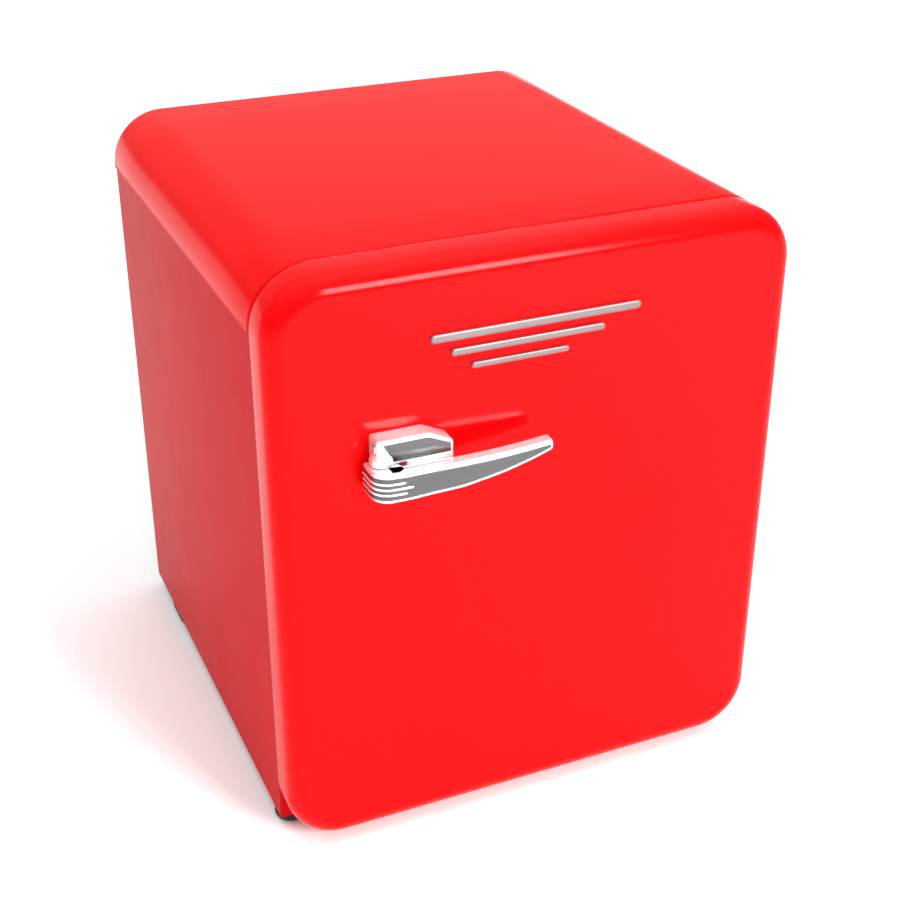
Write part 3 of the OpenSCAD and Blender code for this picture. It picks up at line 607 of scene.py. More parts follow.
bmesh.ops.delete(part, geom=front, context="FACES_ONLY")
bmesh.ops.reverse_faces(part, faces=part.faces)
bmesh.ops.solidify(part, geom=part.faces, thickness=LINER_T)
b = Build()
b.take(part, recalc=False)
b.done("liner_cavity", "inner_liner")

f0, f1 = corners("foam_core")
z_bay = hi("bay_panel").z
skin_r = CORNER_R - (HALF_W - f1.x)
gap = LINER_T + 0.2
b = Build()
b.prism([(f0.x, f0.z)] + arc(-HALF_W + CORNER_R, Z_TOP - CORNER_R, skin_r, 180, 90, 14)
        + arc(HALF_W - CORNER_R, Z_TOP - CORNER_R, skin_r, 90, 0, 14) + [(f1.x, f0.z)],
        f1.y - f0.y, turned("XZ")(f0.y))
core = b.done("cabinet_filling", "foam_core")
cut(core, [((-SPACE_X - gap, f0.y - 2, Z_FLOOR - gap), (SPACE_X + gap, Y_HUMP + gap, Z_ROOF + gap))])
cut(core, [((-SPACE_X - gap, Y_HUMP, Z_HUMP - gap), (SPACE_X + gap, Y_LINER + gap, Z_ROOF + gap))])
cut(core, [((-SPACE_X - 1, Y_HUMP + 0.5, Z_HUMP - 7), (SPACE_X + 1, Y_HUMP + 8, Z_HUMP + 5)),
           ((-HALF_W, y_bay, 0), (HALF_W, f1.y + 5, z_bay))]
    + [((HALF_W - 23, f0.y - 2, z - 21), (HALF_W, Y_FRONT + 14, z + 21)) for z in hinge_z])

b = Build()
r_flange = CORNER_R - FLANGE - 0.3
edge = HALF_W - FLANGE - 0.3
mouth = loop(-SPACE_X, SPACE_X, Z_FLOOR, Z_ROOF, (LINER_R,) * 4)
outer = loop(-edge, edge, flange_low + 0.3, Z_TOP - FLANGE - 0.3, (0.5, r_flange, r_flange, 0.5))


def at_depth(ring, grow, y):
    return [(x + nx * grow, y, z + nz * grow) for x, z, nx, nz in ring]


b.rings([at_depth(outer, 0, Y_FRONT + LINER_T), at_depth(outer, 0, Y_FRONT + 0.3),
         at_depth(outer, -0.4, Y_FRONT)]
        + [at_depth(mouth, LIP_IN + x, Y_FRONT + LIP_IN + y) for x, y in arc(0, 0, LIP_IN, -90, -180, 6)]
        + [at_depth(mouth, LINER_T, Y_FRONT + LIP_IN), at_depth(mouth, LIP_IN + 0.5, Y_FRONT + LINER_T)],
       along=True)
LEDGE_Z = [(Z_HUMP - 6, Z_HUMP), (Z_FLOOR + 72, Z_FLOOR + 78)]
for s in (-1, 1):
    for z0, z1 in LEDGE_Z:
        x0, x1 = sorted((s * (SPACE_X - 8), s * (SPACE_X + 1)))
        b.box((x0, Y_FRONT + 92, z0), (x1, Y_HUMP, z1), 2.2, 4)
b.done("liner_mouth", "inner_liner")

# ---- freezer box and its parts

e0, e1 = corners("evaporator")
EV_T = 2
ev = loop(e0.x, e1.x, e0.z, e1.z, (7,) * 4, 6, 3)
b = Build()
b.rings(swept(ev, [(-6, e1.y), (-1.2, e1.y), (-0.3, e1.y - 0.4), (0, e1.y - 1.2), (0, e0.y + 0.8),
                   (-0.5, e0.y + 0.1), (-1, e0.y), (-1.5, e0.y + 0.1), (-EV_T, e0.y + 0.8),
                   (-EV_T, e1.y - 3.2), (-3, e1.y - EV_T), (-6, e1.y - EV_T)]))
ROLL_R = 2.2
for z, y_start in ((e0.z + EV_T + 0.4, e0.y + 18), (e1.z - EV_T - 0.4, e0.y + 18)):
    path = []
    for i in range(8):
        y = y_start + 28 * i
        ends = (e0.x + 14, e1.x - 14) if i % 2 == 0 else (e1.x - 14, e0.x + 14)
        path += [(ends[0], y, z), (ends[1], y, z)]
    b.tube(path, ROLL_R, 12, sides=10)
for x in (e0.x + EV_T + 0.2, e1.x - EV_T - 0.2):
    path = []
    for i in range(3):
        z = e0.z + 18 + 27 * i
        ends = (e0.y + 20, e1.y - 20) if i % 2 == 0 else (e1.y - 20, e0.y + 20)
        path += [(x, ends[0], z), (x, ends[1], z)]
    b.tube(path, ROLL_R * 0.8, 11, sides=10)
b.done("freezer_box", "evaporator")

f0, f1 = corners("freezer_flap")
FLAP_R = 4
plate_x0, plate_x1 = f0.x + EV_T, f1.x - EV_T
pivot = Vector((0, f1.y - FLAP_R, f1.z - FLAP_R))
b = Build()
b.prism(rect(plate_x0, plate_x1, f0.z, pivot.z, 3), 3, turned("XZ")(pivot.y - 3.5), 0.7)
b.prism(rect(plate_x0 + 12, plate_x1 - 12, f0.z + 14, pivot.z - 12, 4), 1.2,
        turned("XZ")(pivot.y - 4.3), 0.9)
grip = [(pivot.y - 3, f0.z), (pivot.y - 3, f0.z + 3)] + arc(pivot.y - 6.6, f0.z + 1.4, 1.4, 60, 300, 8)
b.prism(grip, plate_x1 - plate_x0 - 40, turned("YZ")(plate_x0 + 20), 0.4)
b.lathe([(0, plate_x0), (FLAP_R - 0.5, plate_x0), (FLAP_R, plate_x0 + 0.5), (FLAP_R, plate_x1 - 0.5),
         (FLAP_R - 0.5, plate_x1), (0, plate_x1)], (0, pivot.y, pivot.z), "X", 24)
b.lathe([(0, f0.x), (1.6, f0.x), (2, f0.x + 0.4), (2, f1.x - 0.4), (1.6, f1.x), (0, f1.x)],
        (0, pivot.y, pivot.z), "X", 20)
b.done("frosted_flap", "freezer_flap")

t0, t1 = corners("drip_tray")
TRAY_IN = 4.7
b = Build()
rounded_box(b, (t0.x + TRAY_IN, t0.y + 8, t0.z), (t1.x - TRAY_IN, t1.y, t1.z), 6, 0.6, floor=2, wall=2)
for x0, x1 in ((t0.x, t0.x + TRAY_IN + 1), (t1.x - TRAY_IN - 1, t1.x)):
    b.box((x0, t0.y + 14, t1.z - 2), (x1, t1.y, t1.z), 0.5)
cx = (t0.x + t1.x) / 2
lip = [(t0.y + 0.5, t1.z - 5), (t0.y + 2, t1.z - 5), (t0.y + 2.6, t1.z - 2), (t0.y + 9, t1.z - 2),
       (t0.y + 9, t1.z), (t0.y + 2, t1.z), (t0.y + 0.5, t1.z - 1.5)]
b.prism(lip, 90, turned("YZ")(cx - 45), 0.4)
b.done("drip_bin", "drip_tray")

r0, r1 = corners("tray_runners")
b = Build()
for s in (-1, 1):
    x_out = r0.x if s < 0 else r1.x
    profile = [(0, 0), (0, 12), (1.8, 12), (1.8, 2.5), (5.8, 2.5), (5.8, 0)]
    b.prism([(x_out - s * u, r0.z + v) for u, v in profile], r1.y - r0.y, turned("XZ")(r0.y), 0.4)
b.done("runners", "tray_runners")

h0, h1 = corners("thermostat_housing")
k0, k1 = corners("thermostat_knob")
STAT = ((k0.x + k1.x) / 2, (k0.z + k1.z) / 2)
b = Build()
front_y = h0.y + 2
b.box((h0.x, front_y, h0.z), (h1.x, h1.y, h1.z), 5, 4)
housing = b.done("thermostat_case", "thermostat_housing")
cut(housing, [((h0.x + 2, front_y + 2, h0.z + 2), (h1.x - 2, h1.y - 2, h1.z - 2))]
    + [((STAT[0] - 30 + 10 * i, h1.y - 50, h0.z - 1), (STAT[0] - 26 + 10 * i, h1.y - 14, h0.z + 3))
       for i in range(7)])
b = Build()
b.lathe([(3.05, front_y - 1.2), (15, front_y - 1.2), (16.5, front_y - 2), (18.2, front_y - 2),
         (19, front_y - 1.4), (19, front_y + 0.5), (3.05, front_y + 0.5)], (STAT[0], 0, STAT[1]), "Y", 48)
b.done("thermostat_bezel", "thermostat_housing")

b = Build()
y = k1.y
knob = [(0, y), (16.6, y), (17, y - 0.4), (16.3, y - 4.4), (15.6, y - 5), (12.6, y - 5.2),
        (12.2, y - 5.6), (12, y - 13), (11.2, y - 14), (0, y - 14)]
b.lathe(knob, (STAT[0], 0, STAT[1]), "Y", 64)
b.prism(rect(STAT[0] - 2.5, STAT[0] + 2.5, STAT[1] - 15, STAT[1] + 15, 2.4), 11.5,
        turned("XZ")(y - 16), 0.8)
for i in range(24):
    a = radians(15 * i + 7.5)
    px, pz = STAT[0] + 12 * cos(a), STAT[1] + 12 * sin(a)
    b.tube([(px, y - 5.5, pz), (px, y - 12.6, pz)], 0.45, sides=8)
b.done("dial", "thermostat_knob")

for i in range(7):
    a = radians(125 - 45 * i)
    text = bpy.data.curves.new(f"digit_{i}", "FONT")
    text.body = str(i)
    text.align_x = text.align_y = "CENTER"
    text.size = 3.1 * MM
    text.extrude = 0.06 * MM
    digit = bpy.data.objects.new(f"dial_digit_{i}", text)
    scene.collection.objects.link(digit)
    digit.location = Vector((STAT[0] + 14.1 * cos(a), y - 5.05, STAT[1] + 14.1 * sin(a))) * MM
    digit.rotation_euler = (radians(90), 0, 0)
    text.materials.append(MAT["black_ink"])
    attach(digit, "thermostat_knob")

# ---- shelf

g0, g1 = corners("glass_shelf")
b = Build()
b.box(g0, g1, 0.7, 3)
b.done("glass_plate", "glass_shelf")

s0, s1 = corners("shelf_trims")
front = rect(s0.y, g0.y + 7, s0.z, g1.z + 2, 2.6)
b = Build()
b.prism(front, s1.x - s0.x, turned("YZ")(s0.x), 0.5)
b.prism([(g1.y - 6, g1.z), (g1.y, g1.z), (g1.y, g0.z), (s1.y, g0.z), (s1.y, s1.z), (s1.y - 2, s1.z),
         (s1.y - 2.6, g1.z + 2), (g1.y - 6, g1.z + 2)], s1.x - s0.x, turned("YZ")(s0.x), 0.4)
trims = b.done("shelf_edges", "shelf_trims")
cut(trims, [((s0.x - 1, g0.y, g0.z), (s1.x + 1, g0.y + 8, g1.z))])

# ---- cooling unit

c0, c1 = corners("condenser_tube")
TUBE_R = 2.4
COIL_Y = (c0.y + c1.y) / 2
RUNS = 11
COIL_Z0 = c0.z + TUBE_R * 1.05
PITCH = (c1.z - c0.z - 2 * TUBE_R * 1.05) / (RUNS - 1)
COIL_HALF = 185.0
path = [(-COIL_HALF, COIL_Y, COIL_Z0)]
for i in range(RUNS):
    z = COIL_Z0 + i * PITCH
    s = 1 if i % 2 == 0 else -1
    path.append((s * COIL_HALF, COIL_Y, z))
    if i < RUNS - 1:
        path += [(s * (COIL_HALF + u), COIL_Y, z + PITCH / 2 + v)
                 for u, v in arc(0, 0, PITCH / 2, -90, 90, 12)[1:]]
b = Build()
b.tube(path, TUBE_R, sides=14)
b.done("condenser_loop", "condenser_tube")

w0, w1 = corners("condenser_wires")
WIRE_R = 0.8
b = Build()
for y in (w1.y - WIRE_R, 2 * COIL_Y - w1.y + WIRE_R):
    for i in range(31):
        x = -COIL_HALF + 6 + 12 * i
        if x < COIL_HALF - 5:
            b.tube([(x, y, w0.z + WIRE_R), (x, y, w1.z - WIRE_R)], WIRE_R, sides=8)
for z in (w0.z + WIRE_R, w1.z - WIRE_R):
    b.tube([(w0.x, w1.y - WIRE_R, z), (w1.x, w1.y - WIRE_R, z)], WIRE_R, sides=8)
b.done("condenser_wiring", "condenser_wires")

COMP = tuple(middle("compressor_lower_shell").xy)
COMP_R = hi("compressor_lower_shell").x - COMP[0]
SEAM = 80.0
DOME = 0.3


def can(r, z_rim, z_apex, wall=3, corner=9, steps=10):
    """Closed half section of a pressed can: straight wall, soft shoulder, shallow dome."""
    up = 1 if z_apex > z_rim else -1

    def skin(r, apex):
        rise = DOME * (r - corner) * 0.75
        shoulder = apex - up * rise
        wall_line = [(r, z_rim)]
        turn = [(r - corner + corner * cos(radians(a)),
                 shoulder - up * corner + up * corner * sin(radians(a)))
                for a in range(0, 70, 10)]
        last_r, last_z = turn[-1]
        dome = [(last_r * cos(radians(90 * i / steps)),
                 last_z + (apex - last_z) * sin(radians(90 * i / steps)))
                for i in range(1, steps + 1)]
        dome[-1] = (0, apex)
        return wall_line + turn + dome

    outer = skin(r, z_apex)
    inner = skin(r - wall, z_apex - up * wall)
    return outer + inner[::-1]


z_low, z_high = lo("compressor_lower_shell").z, hi("compressor_upper_shell").z
b = Build()
b.lathe(can(COMP_R, SEAM, z_low), (*COMP, 0), "Z", 72)
b.lathe([(COMP_R - 3.2, SEAM - 1), (COMP_R - 0.6, SEAM - 3), (COMP_R + 0.4, SEAM - 2),
         (COMP_R + 0.4, SEAM + 1.4),
         (COMP_R - 0.4, SEAM + 2.2), (COMP_R - 2.4, SEAM + 2.4), (COMP_R - 3.2, SEAM + 1.6)],
        (*COMP, 0), "Z", 72)
b.done("can_lower", "compressor_lower_shell")
b = Build()
b.lathe(can(COMP_R - 3, SEAM, z_high), (*COMP, 0), "Z", 72)
b.done("can_upper", "compressor_upper_shell")

m0, m1 = corners("compressor_mount")
b = Build()
plate = rect(m0.x, m1.x, m0.y, m1.y, 10)
b.prism(plate, m1.z - m0.z, turned("XY")(m0.z), 0.6)
for yy in (m0.y + 1.5, m1.y - 1.5):
    b.tube([(m0.x + 12, yy, m1.z), (m1.x - 12, yy, m1.z)], 1.5, sides=10)
b.done("mount_plate", "compressor_mount")

MOUNTS = [(COMP[0] + sx * 72, COMP[1] + sy * 42) for sx in (-1, 1) for sy in (-1, 1)]
gr0, gr1 = corners("compressor_grommets")
b = Build()
for x, yy in MOUNTS:
    z = gr0.z
    wavy = [(3.1, z), (8.4, z), (9, z + 0.6)]
    for i in range(4):
        wavy += [(9, z + 2 + 5.4 * i), (7.6, z + 3.6 + 5.4 * i), (9, z + 5.2 + 5.4 * i)]
    top = m0.z
    wavy = [(r, min(zz, top - 0.1)) for r, zz in wavy] + [(5.8, top), (5.8, m1.z + 0.1),
                                                          (8, m1.z + 0.3), (7.6, gr1.z), (3.1, gr1.z)]
    b.lathe(wavy, (x, yy, 0), "Z", 32)
b.done("grommets", "compressor_grommets")

relay0, relay1 = corners("relay_cover")
b = Build()
b.box((relay0.x, relay0.y, relay0.z), (relay1.x + 1.5, relay1.y, relay1.z), 3, 4)
b.box((relay0.x - 0.5, relay0.y + 7, relay0.z + 8), (relay0.x + 2, relay1.y - 7, relay1.z - 8), 0.8)
b.tube([(relay0.x + 12, relay0.y - 0.6, relay0.z + 4), (relay0.x - 1, relay0.y - 0.6, relay0.z + 22),
        (relay0.x - 1, relay1.y + 0.6, relay0.z + 22), (relay0.x + 12, relay1.y + 0.6, relay0.z + 4)],
       0.7, 3, sides=8)
b.done("relay_box", "relay_cover")

RISER_X = hi("discharge_pipe").x - TUBE_R * 1.05
dz = (lo("discharge_pipe").z + TUBE_R)
z_last = COIL_Z0 + (RUNS - 1) * PITCH
x = COMP[0] + COMP_R - 1.5
b = Build()
b.tube([(x, COMP[1], dz), (x + 32, COMP[1], dz), (x + 32, COMP[1], dz + 34), (x + 32, COIL_Y, dz + 34),
        (RISER_X, COIL_Y, dz + 50), (RISER_X, COIL_Y, z_last), (COIL_HALF, COIL_Y, z_last)],
       TUBE_R, 12)
b.lathe([(TUBE_R, x - 1), (4.2, x - 1), (3.6, x + 2.5), (TUBE_R, x + 3.5)], (0, COMP[1], dz), "X", 20)
b.done("discharge_line", "discharge_pipe")

SUCTION_R = 3.0
sz = COMP[1] + COMP_R
z = lo("suction_pipe").z + SUCTION_R
b = Build()
b.tube([(COMP[0] - 20, sz - 4, z), (COMP[0] - 20, sz + 6, z), (COMP[0] - 98, sz + 6, z),
        (COMP[0] - 98, y_bay + 22, z), (COMP[0] - 98, y_bay + 22, z_bay - 1)], SUCTION_R, 9)
b.done("suction_line", "suction_pipe")

DRIER = ((lo("filter_drier").x + 9), COIL_Y - 8, 85.0)
b = Build()
b.tube([(-COIL_HALF, COIL_Y, COIL_Z0), (DRIER[0], COIL_Y, COIL_Z0), (DRIER[0], COIL_Y, z_bay - 6),
        (DRIER[0], DRIER[1], z_bay - 20), (DRIER[0], DRIER[1], DRIER[2] + 60)], TUBE_R, 8)
b.lathe([(0, -15), (1.8, -15), (2.6, -13), (5, -8), (8.2, -2.5), (9, 0), (9, 8), (8.6, 9), (8.6, 10.5),
         (9, 11.5),
         (9, 41), (8.6, 42), (8.6, 43.5), (9, 44.5), (9, 52), (8.2, 54.5), (5, 60), (3.4, 64), (0, 64)],
        DRIER, "Z", 32)
b.done("drier", "filter_drier")

CAP_X = COMP[0] - 108
b = Build()
low = DRIER[2] - 44
coil = [(DRIER[0] + 7 - 7 * cos(a), DRIER[1] - 7 * sin(a), DRIER[2] - 20 - 1.0 * a)
        for a in (radians(30 * i) for i in range(0, 37))]
b.tube([(DRIER[0], DRIER[1], DRIER[2] - 12)] + coil, 1.1, sides=10)
b.tube([coil[-1], (DRIER[0], DRIER[1], low), (CAP_X, DRIER[1], low), (CAP_X, y_bay + 22, low),
        (CAP_X, y_bay + 22, z_bay - 1)], 1.1, 9, sides=10)
b.done("capillary", "capillary_tube")

gx0, gx1 = corners("cable_gland")
GLAND = ((gx0.x + gx1.x) / 2, 0, (gx0.z + gx1.z) / 2)
b = Build()
y = hi("compressor_tray").y
b.lathe([(3.6, y - 6), (7, y - 6), (7.5, y - 5.4), (7.5, y - 2.6), (6, y - 2), (6, y - 0.1), (8.2, y),
         (8.5, y + 0.4), (8.5, y + 1.6), (6.6, y + 2.4), (6.2, y + 3.8), (3.6, y + 4)], GLAND, "Y", 40)
b.done("gland", "cable_gland")

# ---- hinges and feet

PIN_R = 3.0
for node, z in zip(hinge_nodes, hinge_z):
    n0, n1 = corners(node)
    b = Build()
    arm = ([(n1.x, n1.y), (HINGE_X - 2.2, n1.y), (HINGE_X - 2.2, HINGE_Y + 5.6)]
           + arc(HINGE_X, HINGE_Y, 6, 112, 380, 20) + [(n1.x, HINGE_Y + 5)])
    b.prism(arm, ARM_T, turned("XY")(z - ARM_T / 2), 0.4)
    b.prism(rect(n0.x, n1.x, n0.z, n1.z, 3), 3, turned("XZ")(n1.y - 3), 0.5)
    b.done(f"bracket_{node}", node)

b = Build()
for z in hinge_z:
    reach = 12.5
    b.lathe([(0, z - reach), (2.4, z - reach), (PIN_R, z - reach + 0.7), (PIN_R, z - 4.4), (2.6, z - 4.1),
             (PIN_R, z - 3.8), (PIN_R, z + reach - 0.7), (2.4, z + reach), (0, z + reach)],
            (HINGE_X, HINGE_Y, 0), "Z", 28)
b.done("pins", "hinge_pins")

SCREW_X = HALF_W - 8
b = Build()
for z in hinge_z:
    for s in (-1, 1):
        b.lathe([(0, Y_FRONT - 0.9), (1.6, Y_FRONT - 0.8), (2.8, Y_FRONT - 0.4), (3.5, Y_FRONT + 0.1),
                 (1.9, Y_FRONT + 1.6), (1.9, Y_FRONT + 11), (0, Y_FRONT + 11)], (SCREW_X, 0, z + 13 * s),
                 "Y", 28)
screws = b.done("bracket_screws", "hinge_screws")
for wide, tall in ((1.9, 0.35), (0.35, 1.9)):
    cut(screws, [((SCREW_X - wide, Y_FRONT - 2, z + 13 * s - tall),
                  (SCREW_X + wide, Y_FRONT + 0.4, z + 13 * s + tall)) for z in hinge_z for s in (-1, 1)])

for side in ("left", "right"):
    node = f"front_foot_{side}"
    n0, n1 = corners(node)
    at = ((n0.x + n1.x) / 2, (n0.y + n1.y) / 2, 0)
    b = Build()
    pad = [(0, 0), (12, 0), (13, 0.5), (14, 1.8), (14, 5.6), (13.2, 6.6), (11, 7), (0, 7)]
    b.lathe(pad, at, "Z", 48)
    for i in range(24):
        a = radians(15 * i)
        b.tube([(at[0] + 13.8 * cos(a), at[1] + 13.8 * sin(a), 2),
                (at[0] + 13.8 * cos(a), at[1] + 13.8 * sin(a), 5.4)], 0.7, sides=8)
    b.lathe([(0, Z_BOT - 5), (7.6, Z_BOT - 5), (8, Z_BOT - 4.6), (8, Z_BOT - 2.4), (7.6, Z_BOT - 2),
             (0, Z_BOT - 2)],
            at, "Z", 6)
    thread = [(0, Z_BOT - 3)]
    for i in range(24):
        z = Z_BOT - 1.5 + i
        thread += [(3.4, z), (4, z + 0.5)]
    thread += [(3.2, n1.z), (0, n1.z)]
    b.lathe(thread, at, "Z", 24)
    b.done(f"levelling_foot_{side}", node)

q0, q1 = corners("rear_feet")
b = Build()
for x0, x1 in ((q0.x, q0.x + 20), (q1.x - 20, q1.x)):
    rounded_box(b, (x0, q0.y, q0.z), (x1, q1.y, q1.z), 5, 1.5)
b.done("rear_pads", "rear_feet")

# ---- door

DOOR_OUT = loop(-HALF_W, HALF_W, DOOR_Z0, Z_TOP, (CORNER_R,) * 4, 24, 5)
RETURN = 8


def crown(r, steps):
    """Rounded rim, in (out, y), from the side of the door to its face."""
    return [(-CROWN_R + x, DOOR_FACE + CROWN_R + y) for x, y in arc(0, 0, r, 0, -90, steps)]


inner_face = DOOR_FACE + SHEET
section = ([(-RETURN, DOOR_REAR - SHEET), (-RETURN, DOOR_REAR)]
           + [(-1 + x, DOOR_REAR - 1 + y) for x, y in arc(0, 0, 1, 90, 0, 4)]
           + crown(CROWN_R, 20) + [(-CROWN_R - 2, DOOR_FACE), (-CROWN_R - 8, DOOR_FACE)])
back = ([(-CROWN_R - 8, inner_face)] + crown(CROWN_R - SHEET, 10)[::-1]
        + [(-SHEET, DOOR_REAR - 2), (-2, DOOR_REAR - SHEET)])
b = Build()
part = bmesh.new()
rows = [[part.verts.new(p) for p in ring] for ring in swept(DOOR_OUT, section)]
rear_rows = [[part.verts.new(p) for p in ring] for ring in swept(DOOR_OUT, back)]
n = len(rows[0])
for chain in (rows, rear_rows, (rear_rows[-1], rows[0])):
    for u, v in zip(chain, chain[1:]):
        for i in range(n):
            part.faces.new((u[i], u[(i + 1) % n], v[(i + 1) % n], v[i]))
part.faces.new(rows[-1])
part.faces.new(rear_rows[0])
b.take(part)
SLOTS = [((HINGE_X - 7, HINGE_Y - 13, z - 3.5), (HALF_W + 1, Y_FRONT, z + 3.5)) for z in hinge_z]
skin = b.done("red_door_shell", "door_skin")
cut(skin, SLOTS)

b = Build()
b.rings([at_depth(loop(-HALF_W, HALF_W, DOOR_Z0, Z_TOP, (CORNER_R,) * 4, 12, 3), out, y)
         for out, y in [(-14, DOOR_REAR), (-13.2, DOOR_REAR + 0.5), (-13.4, DOOR_REAR + 1.0),
                        (-14.8, DOOR_REAR + 1.35), (-13.6, DOOR_REAR + 1.8), (-13.3, DOOR_REAR + 2.3),
                        (-13.9, DOOR_REAR + 2.7), (-29.1, DOOR_REAR + 2.7), (-29.7, DOOR_REAR + 2.3),
                        (-29.4, DOOR_REAR + 1.8), (-28.2, DOOR_REAR + 1.35), (-29.6, DOOR_REAR + 1.0),
                        (-29.8, DOOR_REAR + 0.5), (-29, DOOR_REAR)]], along=True)
b.done("bellows_seal", "door_gasket")

PLUG_X = 165.0
PLUG_Y = -167.5
PLUG_Z = (62.0, 460.0)
DYKE_W = 13
u0, u1 = corners("upper_rack")
l0, l1 = corners("lower_rack")
b = Build()
sheet_edge = loop(-HALF_W + RETURN + 0.3, HALF_W - RETURN - 0.3, DOOR_Z0 + RETURN + 0.3,
                  Z_TOP - RETURN - 0.3, (CORNER_R - RETURN - 0.3,) * 4, 10, 4)
plug = loop(-PLUG_X, PLUG_X, *PLUG_Z, (14,) * 4, 10, 4)
b.rings([at_depth(sheet_edge, 0, DOOR_REAR - LINER_T), at_depth(sheet_edge, 0, DOOR_REAR - 0.2),
         at_depth(sheet_edge, -0.3, DOOR_REAR)]
        + [at_depth(plug, 3 + x, DOOR_REAR + 3 + y) for x, y in arc(0, 0, 3, -90, -180, 5)]
        + [at_depth(plug, -4 + x, PLUG_Y - 4 + y) for x, y in arc(0, 0, 4, 0, 90, 6)]
        + [at_depth(plug, -8, PLUG_Y)])
for s in (-1, 1):
    dyke = round_path([(PLUG_Y - 4, PLUG_Z[0] + 2, 0), (l1.y - 4, PLUG_Z[0] + 2, 0),
                       (l1.y, PLUG_Z[0] + 8, 0),
                       (l1.y, 209, 0), (l1.y - 6, 222, 0), (u1.y, 232, 0), (u1.y, 334, 0),
                       (PLUG_Y + 4, 339.5, 0), (PLUG_Y - 4, 339.5, 0)], 9, 6)
    outline = [(p.x, p.y) for p in dyke]
    x0 = PLUG_X - DYKE_W if s > 0 else -PLUG_X
    b.prism(outline, DYKE_W, turned("YZ")(x0), 3.2, 5)
    for z in (PLUG_Z[1] - 24, PLUG_Z[1] - 34, PLUG_Z[1] - 44):
        b.tube([(s * 20, PLUG_Y - 0.2, z), (s * 130, PLUG_Y - 0.2, z)], 1.2, sides=10)
liner = b.done("door_inner_moulding", "door_liner")
cut(liner, SLOTS)

b = Build()
b.rings(swept(loop(-HALF_W, HALF_W, DOOR_Z0, Z_TOP, (CORNER_R,) * 4, 12, 3),
              [(-CROWN_R - 8, inner_face + 0.8)] + crown(CROWN_R - SHEET - 0.8, 10)[::-1]
              + [(-SHEET - 0.8, DOOR_REAR - 4), (-SHEET - 6, DOOR_REAR - LINER_T - 0.4)]))
b.box((7 - PLUG_X, DOOR_REAR - 4, PLUG_Z[0] + 7), (PLUG_X - 7, PLUG_Y - 1.6, PLUG_Z[1] - 7), 2)
for x0 in (-PLUG_X + 2, PLUG_X - DYKE_W + 2):
    for y1, z0, z1 in ((l1.y - 3.5, PLUG_Z[0] + 10, 205), (u1.y - 3.5, 200, 328)):
        b.box((x0, PLUG_Y - 5, z0), (x0 + DYKE_W - 4, y1, z1), 2)
filling = b.done("door_filling", "door_foam")
cut(filling, SLOTS)


def door_bin(name, node, a, c, rows_of_slots):
    b = Build()
    rounded_box(b, (a.x, a.y, a.z), (c.x, c.y, c.z), 7, 0.9, floor=2, wall=2)
    b.tube([(a.x + 8, c.y - 0.4, c.z - 1.2), (c.x - 8, c.y - 0.4, c.z - 1.2)], 1.6, sides=14)
    for i in range(rows_of_slots):
        z = a.z + 10 + 9 * i
        b.tube([(a.x + 14, c.y - 0.1, z), (c.x - 14, c.y - 0.1, z)], 1.0, sides=10)
    b.done(name, node)


door_bin("bin_upper", "upper_rack", u0, u1, 3)
door_bin("bin_lower", "lower_rack", l0, l1, 4)

v0, v1 = corners("rack_rail")
b = Build()
RAIL = (0, (v0.y + v1.y) / 2, (v0.z + v1.z) / 2)
b.lathe([(0, v0.x), (3, v0.x), (3, v1.x), (0, v1.x)], RAIL, "X", 28)
for s, x in ((1, v0.x), (-1, v1.x)):
    b.lathe([(3, x), (4.6, x), (4.6, x + s * 3), (4, x + s * 4), (3, x + s * 4)], RAIL, "X", 28)
b.done("bottle_rail", "rack_rail")

b = Build()
for i in range(3):
    half = 3.6 - 0.5 * i
    x0, x1 = -92 + 16 * i, 76 - 30 * i
    z = Z_TOP - 60 - 13 * i
    stadium = arc(x1, z, half, -90, 90, 14) + arc(x0, z, half, 90, 270, 14)
    b.prism(stadium, 3, off_door, min(1.5, half * 0.45), 4)
badge = b.done("badge", "badge_bars")
badge.data.materials[0] = MAT["badge_metal"]

# ---- handle

p0, p1 = corners("lever_pin")
PIVOT_X = (p0.x + p1.x) / 2
PIVOT_S = DOOR_FACE - (p0.y + p1.y) / 2
LEVER_TOP = hi("lever").z
LEVER_LOW = lo("lever").z
TIP_X = hi("lever").x
DRUM_R = 14.0
DRUM_X = PIVOT_X + 4
DRUM_S = 17.5
WRAP_X = PIVOT_X + 14
WRAP_S = 4.0
BASE_X0 = PIVOT_X - 4
BASE_X1 = hi("handle_base").x
BASE_TOP = hi("handle_base").z
BASE_S = 17.5
LUG_Z = lo("handle_base").z
BOW = (PIVOT_X + 64.5, -431.8, 465.0)
BOW_T = 11
INLAY_FOOT, INLAY_HEAD = 2.6, 3.4
pivot_at = (PIVOT_X, DOOR_FACE - PIVOT_S, 0)


def upright(low):
    """Places outlines drawn in x and distance off the door, thickened upwards from low."""
    return lambda u, v, w: (u, DOOR_FACE - v, low + w)


def bow_s(x, r=BOW[2]):
    return BOW[1] + sqrt(r * r - (x - BOW[0]) ** 2)


def lever_low(x):
    """Lower edge of the lever: level at first, then sweeping up towards the tip."""
    spots = [(-20, 0), (17, 0.5), (55, 2.2), (89, 7), (114, 11.8), (TIP_X - DRUM_X, 16)]
    u = x - DRUM_X
    for (a, za), (c, zc) in zip(spots, spots[1:]):
        if u <= c:
            return LEVER_LOW + za + (zc - za) * (u - a) / (c - a)
    return LEVER_LOW + spots[-1][1]


def front_s(x):
    """Front of the lever: the bow, eased out to meet the rounded end."""
    t = min(1.0, max(0.0, (x - DRUM_X) / 36))
    return bow_s(x) + (DRUM_S + DRUM_R - bow_s(DRUM_X)) * (1 - t) ** 2 * (1 + 2 * t)


